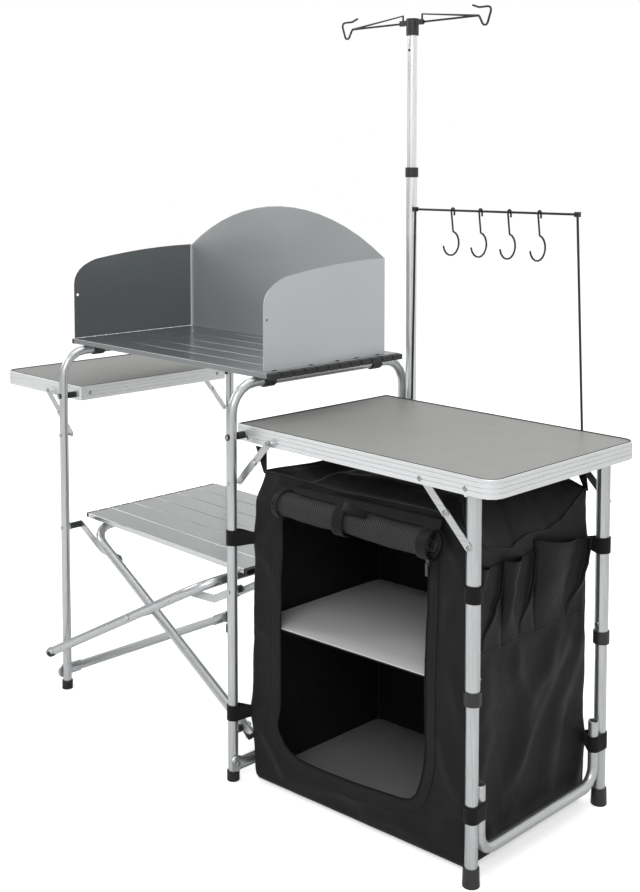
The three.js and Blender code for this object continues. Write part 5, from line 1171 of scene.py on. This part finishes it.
# Soft cupboard: rolled mesh door
# The door is rolled up from its foot, hangs from the head of the doorway and is tied with a band.
ROLL_RADIUS = 0.0238
ROLL_INNER = 0.0065
ROLL_TURNS = 3.6
ROLL_LEFT = 0.411 + CROSS_X
ROLL_RIGHT = 0.735 + CROSS_X
ROLL_HEIGHTS = (0.550, 0.541)
ROLL_DROOP = 0.002
ROLL_STANDS = 0.0285
ROLL_CELLS = 60
SPIRAL_CELLS = 132
MESH_THICK = 0.0010
TIE_X = 0.560 + CROSS_X
TIE_DRAWS = 0.05
TIE_DRAWS_WIDE = 0.02
ROLL_WAVE = 0.0009
ROLL_SLIP = 0.004
FLAP_TOP = 0.578
FLAP_STAND = 0.0012
FLAP_DROOP = 0.0015
FLAP_THICK = 0.0009
BAND_UNEVEN = 0.0003
TAIL_BACK = 0.004
TAIL_FRONT = 0.006
TAIL_THICK = 0.0012


def across_roll(share):
    return ROLL_LEFT + (ROLL_RIGHT - ROLL_LEFT) * share


def roll_centre(x):
    """The roll's middle over x: it follows the panel and droops a little on both sides of the tie."""
    share = (x - ROLL_LEFT) / (ROLL_RIGHT - ROLL_LEFT)
    left, right = ROLL_HEIGHTS
    z = left + (right - left) * share - ROLL_DROOP * math.sin(math.tau * share) ** 2
    front = BAG_CORNERS[0][1] + (x - BAG_LEFT) * front_side["along"].y / front_side["along"].x
    return Vector((x, front - ROLL_STANDS, z))


rows = []
spots = []
for way in shares(ROLL_CELLS):
    x = across_roll(way)
    centre = roll_centre(x)
    pinch = 1.0 - TIE_DRAWS * bell(x - TIE_X, TIE_DRAWS_WIDE)
    row = []
    gone = 0.0
    for share in shares(SPIRAL_CELLS):
        angle = -math.pi * 0.55 - share * ROLL_TURNS * math.tau
        radius = ROLL_INNER + (ROLL_RADIUS - ROLL_INNER) * (1.0 - share) ** 0.8
        wave = ROLL_WAVE * noise.noise(Vector((x * 30.0, angle * 0.6, 4.0))) * (1.0 - share)
        radius = (radius + wave) * pinch
        slip = ROLL_SLIP * noise.noise(Vector((share * 9.0, 2.0, 0.5))) * (2.0 * way - 1.0)
        place = centre + Vector((slip, -radius * math.cos(angle), radius * math.sin(angle)))
        if row:
            gone += (place - row[-1]).length
        row.append(place)
        spots.append((gone, x))
    rows.append(row)
door_roll = Cloth().grid(rows).made("door_roll", mesh_finish)
layer = door_roll.data.uv_layers.new(name="rolled")
for loop in door_roll.data.loops:
    layer.data[loop.index].uv = spots[loop.vertex_index]
thicken(door_roll, MESH_THICK)
soft(door_roll, "cupboard_door_roll")

# The flap from the head of the doorway to the roll, and the bound edges near the roll's ends.
flap_rows = []
for share in shares(4):
    row = []
    for x in map(across_roll, shares(ROLL_CELLS)):
        head_place = front_at(x, FLAP_TOP) - Vector((0.0, FLAP_STAND, 0.0))
        back = roll_centre(x) + Vector((0.0, 0.72, 0.72)) * ROLL_RADIUS
        row.append(head_place.lerp(back, share) - UP * FLAP_DROOP * arch(share))
    flap_rows.append(row)
sewn("door_flap", flap_rows, cloth_finish, FLAP_THICK)


def ring_band(name, x, width, out, thickness, drop, material):
    """A band round the roll at x, that far out from it, which leans by drop."""
    rows = []
    for way in shares(6):
        across = x + width * (way - 0.5)
        row = []
        for angle in (math.tau * share for share in shares(40)):
            wave = BAND_UNEVEN * noise.noise(Vector((across * 200.0, angle * 2.0, drop)))
            r = ROLL_RADIUS + out + wave
            lean = Vector((drop * math.cos(angle), -r * math.cos(angle), r * math.sin(angle)))
            row.append(roll_centre(across) + lean)
        rows.append(row)
    sewn(name, rows, material, thickness)


# For each band: its middle over x, its width, how far out it is, how thick, and how far it leans.
BANDS = {
    "roll_binding_left": (ROLL_LEFT + 0.006, 0.012, 0.0014, 0.0008, 0.0, cloth_finish),
    "roll_binding_right": (ROLL_RIGHT - 0.004, 0.022, 0.0014, 0.0008, 0.0, cloth_finish),
    "roll_tie": (TIE_X - 0.006, 0.024, 0.0022, 0.0011, 0.006, webbing_finish),
}
for name, measures in BANDS.items():
    ring_band(name, *measures)

# The tie's loose end: over x and z, how far it stands off the roll, and how wide it is each way.
TAIL = ((0.560, 0.577, 0.0, 0.010), (0.580, 0.574, 0.004, 0.010), (0.612, 0.569, 0.007, 0.002))
tail_rows = []
for x, z, stand, half_wide in TAIL:
    y = roll_centre(x + CROSS_X).y - ROLL_RADIUS * 0.45 - stand * 0.4
    tail_rows.append([Vector((x + CROSS_X, y - TAIL_BACK, z - half_wide)),
                      Vector((x + CROSS_X, y + TAIL_FRONT, z + half_wide * 0.5))])
sewn("roll_tie_tail", tail_rows, webbing_finish, TAIL_THICK)

# Soft cupboard: boards
# Two stiff inserts covered in grey cloth, with rounded corners and a dark binding on their edges.
BOARD_TOPS = {"cupboard_shelf_mid": 0.306, "cupboard_shelf_base": 0.0128}
BOARD_INSET = 0.0034
BOARD_BEND = 0.020
BOARD_THICK = 0.0040
BINDING_OVER = 0.0002


def board_outline(inset, z):
    """The board's outline at a height, from the bag's plan set in by inset, with round corners."""
    lean = front_side["along"].y / front_side["along"].x
    (left, front), (right, front_right), (_, rear_right), (_, rear) = BAG_CORNERS
    corners = [
        Vector((left + inset, front + inset + lean * inset, z)),
        Vector((right - inset, front_right + inset - lean * inset, z)),
        Vector((right - inset, rear_right - inset, z)),
        Vector((left + inset, rear - inset, z)),
    ]
    places = []
    for i, corner in enumerate(corners):
        before = (corners[i - 1] - corner).normalized() * BOARD_BEND
        after = (corners[(i + 1) % 4] - corner).normalized() * BOARD_BEND
        places += [rounded_corner(corner + before, corner, corner + after, t) for t in shares(6)]
    return places


def inward(rim, steps):
    """Rings from a rim to the middle of the bag, at the rim's height."""
    centre = Vector((*BAG_MIDDLE, rim[0].z))
    return [[place.lerp(centre, share) for place in rim] for share in shares(steps)[1:]]


def insert_finish(name, *tones):
    """Felted grey cloth on a stiff board."""
    material, look = new_finish(name)
    cloud = look.noise(7.0, 3.0)
    fibre = look.noise(260.0, 3.0, (1.0, 4.0, 1.0))
    shade = look.mix((cloud * 0.6) + (fibre * 0.4), *tones)
    surface(look, shade, (fibre * 0.2) + 0.55, bump=fibre, bump_depth=0.0001)
    return material


# Painted light and shade: one grey cloth, lighter on the mid board and darker on the base board deep in the
# bag.
insert_finishes = {
    "cupboard_shelf_mid": insert_finish("painted_light_insert", (0.62, 0.615, 0.63), (0.78, 0.775, 0.79)),
    "cupboard_shelf_base": insert_finish("painted_shade_insert", (0.16, 0.16, 0.165), (0.23, 0.23, 0.235)),
}
for node, high in BOARD_TOPS.items():
    low = high - BOARD_THICK
    # The edge from below: how far each ring is set in, and its height.
    section = ((0.0005, low), (0.0, low + 0.0005), (0.0, high - 0.0012), (0.0004, high - 0.0004),
               (0.0014, high))
    rows = [board_outline(BOARD_INSET + inset, z) for inset, z in section]
    board = Cloth().grid(rows + inward(rows[-1], 4), closed=True)
    board.grid(rows[:1] + inward(rows[0], 2), closed=True)
    soft(board.made(node + "_insert", insert_finishes[node]), node, slot="cupboard_board")
    edge = board_outline(BOARD_INSET - BINDING_OVER, low + PIPING_RADIUS)
    piping(node + "_binding", edge, webbing_finish)

# Soft cupboard: pleated pockets
# Three open-topped pockets on the right-hand wall. Each has a deep pleat that opens upward from the
# bottom seam, with a crisp fold on its rear side that throws the cloth outward.
POCKET_FOOT = 0.352
POCKET_TOP = 0.492
POCKET_SAG = 0.004
POCKET_STAND = 0.0012
POCKET_THICK = 0.0011
HEM_FROM_TOP = Vector((0.0009, 0.0, -0.007))
SEAM_FROM_SIDE = Vector((0.0010, 0.002, 0.0))
SEAM_FROM_FOOT = Vector((0.0010, 0.0, 0.003))
PLEAT_FOOT = 0.366
PLEAT_OPEN = 0.440
PLEAT_EASES = 0.008
PLEAT_LAP = 0.003
PLEAT_EDGE = 0.0012
# For each pocket: its side seams over y, its top height at both seams, how far it swells, and its
# pleat's front and rear edges over y at four heights.
PLEAT_LEVELS = (0.366, 0.420, 0.450, 0.492)
POCKETS = (
    ((-0.152, -0.073), (0.505, 0.494), 0.013,
     (-0.138, -0.138, -0.134, -0.108), (-0.133, -0.096, -0.078, -0.075)),
    ((-0.073, 0.018), (0.497, 0.494), 0.016,
     (-0.030, -0.042, -0.034, -0.016), (-0.025, 0.002, 0.012, 0.014)),
    ((0.018, 0.165), (0.513, 0.487), 0.018,
     (0.104, 0.110, 0.126, 0.142), (0.109, 0.150, 0.160, 0.163)),
)


def pocket_row(pocket, share):
    """Places from seam to seam over a pocket's front, that share of the way up it."""
    (y0, y1), (top0, top1), swell, front_edge, rear_edge = pocket
    z = POCKET_FOOT + (POCKET_TOP - POCKET_FOOT) * share
    opened = ease(z, PLEAT_FOOT - PLEAT_EASES, PLEAT_OPEN)
    front = through(list(zip(PLEAT_LEVELS, front_edge)), max(z, PLEAT_FOOT))
    rear = through(list(zip(PLEAT_LEVELS, rear_edge)), max(z, PLEAT_FOOT))
    section = [(y0, 0.0)]
    for t in shares(14)[1:-1]:
        full = math.sin(math.pi * t**0.85) ** 0.9
        section.append((y0 + (front - y0) * t, swell * full * (0.12 + 0.88 * opened)))
    section.append((front, 0.0))
    section += [(front + (rear + PLEAT_LAP * opened - front) * t, 0.0) for t in shares(6)[1:]]
    section.append((rear + PLEAT_EDGE * opened, swell * 0.30 * opened))
    section += [(rear + (y1 - rear) * t, swell * 0.62 * opened * (1.0 - t) ** 1.5) for t in shares(5)]
    row = []
    for y, stand in section:
        top = top0 + (top1 - top0) * (y - y0) / (y1 - y0) - POCKET_SAG * arch((y - y0) / (y1 - y0))
        height = POCKET_FOOT + (top - POCKET_FOOT) * share
        row.append(right_at(y, height) + Vector((POCKET_STAND + stand, 0.0, 0.0)))
    return row


pocket_cloth = Cloth()
hem_lines = []
seam_lines = []
for pocket in POCKETS:
    rows = [pocket_row(pocket, share) for share in shares(30)]
    pocket_cloth.grid(rows)
    hem_lines.append([p + HEM_FROM_TOP for p in rows[-1]])
    seam_lines.append([row[0] + SEAM_FROM_SIDE for row in rows])
    seam_lines.append([p + SEAM_FROM_FOOT for p in rows[0]])
soft(pocket_cloth.made("cupboard_pockets", cloth_finish, POCKET_THICK))
stitches("pocket_stitches", *hem_lines, *seam_lines)

# Soft cupboard: straps
# Webbing loops hold the bag's corners to the frame and to the right-hand legs. Each runs round its
# leg, the low ones on the right run round the rail too, and a loop's sides meet at the bag's corner.
STRAP_WIDTH = 0.028
STRAP_THICK = 0.0016
STRAP_CLEAR = 0.0004
STRAP_CELL = 0.004
STRAP_SEWN_IN = 0.003
STRAP_NARROWS = 0.03
STRAP_UNEVEN = 0.0010
FRAME_LEG = (CROSS_X + 0.283, 0.2345)
TABLE_LEG = (CROSS_X + 0.809, 0.1825)
LEG_RADII = {"frame_low": 0.0095, "frame_high": 0.0095, "leg_low": 0.0110, "leg_high": 0.0125}
LEG_RAIL_INWARD = 0.0193
LEG_RAIL_RADIUS = 0.0097
# What each pair of straps holds to, its side, and the number of the bag's corner.
STRAPS = (("frame", -1, "front", 0), ("frame", 1, "rear", 3), ("leg", -1, "front", 1), ("leg", 1, "rear", 2))


def hull(points):
    """The convex outline round points in a plane, counterclockwise."""
    points = sorted({(round(x, 6), round(y, 6)) for x, y in points})

    def half(row):
        line = []
        for p in row:
            while len(line) > 1 and ((line[-1][0] - line[-2][0]) * (p[1] - line[-2][1])
                                     - (line[-1][1] - line[-2][1]) * (p[0] - line[-2][0])) <= 0:
                line.pop()
            line.append(p)
        return line

    return half(points)[:-1] + half(points[::-1])[:-1]


def strap(name, rounds, number, z):
    """A loop of webbing round the circles in rounds (x, y, radius), drawn to a corner of the bag."""
    corner = hang(corner_node(number - 1, 0.5), z).xy
    points = []
    for x, y, radius in rounds:
        reach = radius + STRAP_CLEAR + STRAP_THICK / 2
        turns = [math.tau * k / 48 for k in range(48)]
        points += [(x + reach * math.cos(a), y + reach * math.sin(a)) for a in turns]
    side = (Vector(rounds[0][:2]) - corner).normalized()
    wide = Vector((-side.y, side.x)) * STRAP_THICK
    inside = corner - side * STRAP_SEWN_IN
    loop = hull(points + [tuple(inside + wide), tuple(inside - wide)])
    fine = []
    for a, b in zip(loop, loop[1:] + loop[:1]):
        line = Vector(b) - Vector(a)
        cells = max(1, round(line.length / STRAP_CELL))
        fine += [Vector(a).lerp(Vector(b), k / cells) for k in range(cells)]
    rows = []
    for share in shares(6):
        row = []
        for p in fine:
            narrow = 1.0 - 0.25 * (1.0 - ease((p - corner).length, 0.0, STRAP_NARROWS))
            up = z + STRAP_WIDTH * (share - 0.5) * narrow
            up += STRAP_UNEVEN * noise.noise(Vector((p.x * 40.0, p.y * 40.0, number + z)))
            row.append(Vector((p.x, p.y, up)))
        rows.append(row)
    sewn(name, rows, webbing_finish, STRAP_THICK, closed=True)


for holder, side, end, number in STRAPS:
    x, y = FRAME_LEG if holder == "frame" else TABLE_LEG
    for level, z in zip(("low", "high"), STRAP_HEIGHTS["left" if holder == "frame" else "right"]):
        rounds = [(x, side * y, LEG_RADII[f"{holder}_{level}"])]
        if holder == "leg" and level == "low":
            rounds.append((x, side * (y - LEG_RAIL_INWARD), LEG_RAIL_RADIUS))
        strap(f"strap_{holder}_{end}_{level}", rounds, number, z)

# A tab of webbing hangs each top corner from the edging of the table, and leans this far over x and y.
TAB_TOP = 0.6335
TAB_LEANS = ((-0.016, 0.004), (-0.014, 0.010), (-0.014, -0.010), (0.014, -0.006))
TAB_SEWN_BELOW = 0.004
TAB_HALF_WIDE = 0.004
TAB_WIDENS = 0.011
TAB_THICK = 0.0012
for number, lean in enumerate(TAB_LEANS):
    node = corner_node(number - 1, 0.5)
    foot_place = hang(node, rim_high(node) - TAB_SEWN_BELOW)
    rows = []
    for share in shares(8):
        place = foot_place + Vector((*lean, TAB_TOP - foot_place.z)) * share
        half_wide = TAB_HALF_WIDE + TAB_WIDENS * share
        rows.append([place + Vector((half_wide * k, 0.0, 0.0)) for k in (-1.0, -0.5, 0.0, 0.5, 1.0)])
    sewn(f"hanging_tab_{number}", rows, webbing_finish, TAB_THICK)
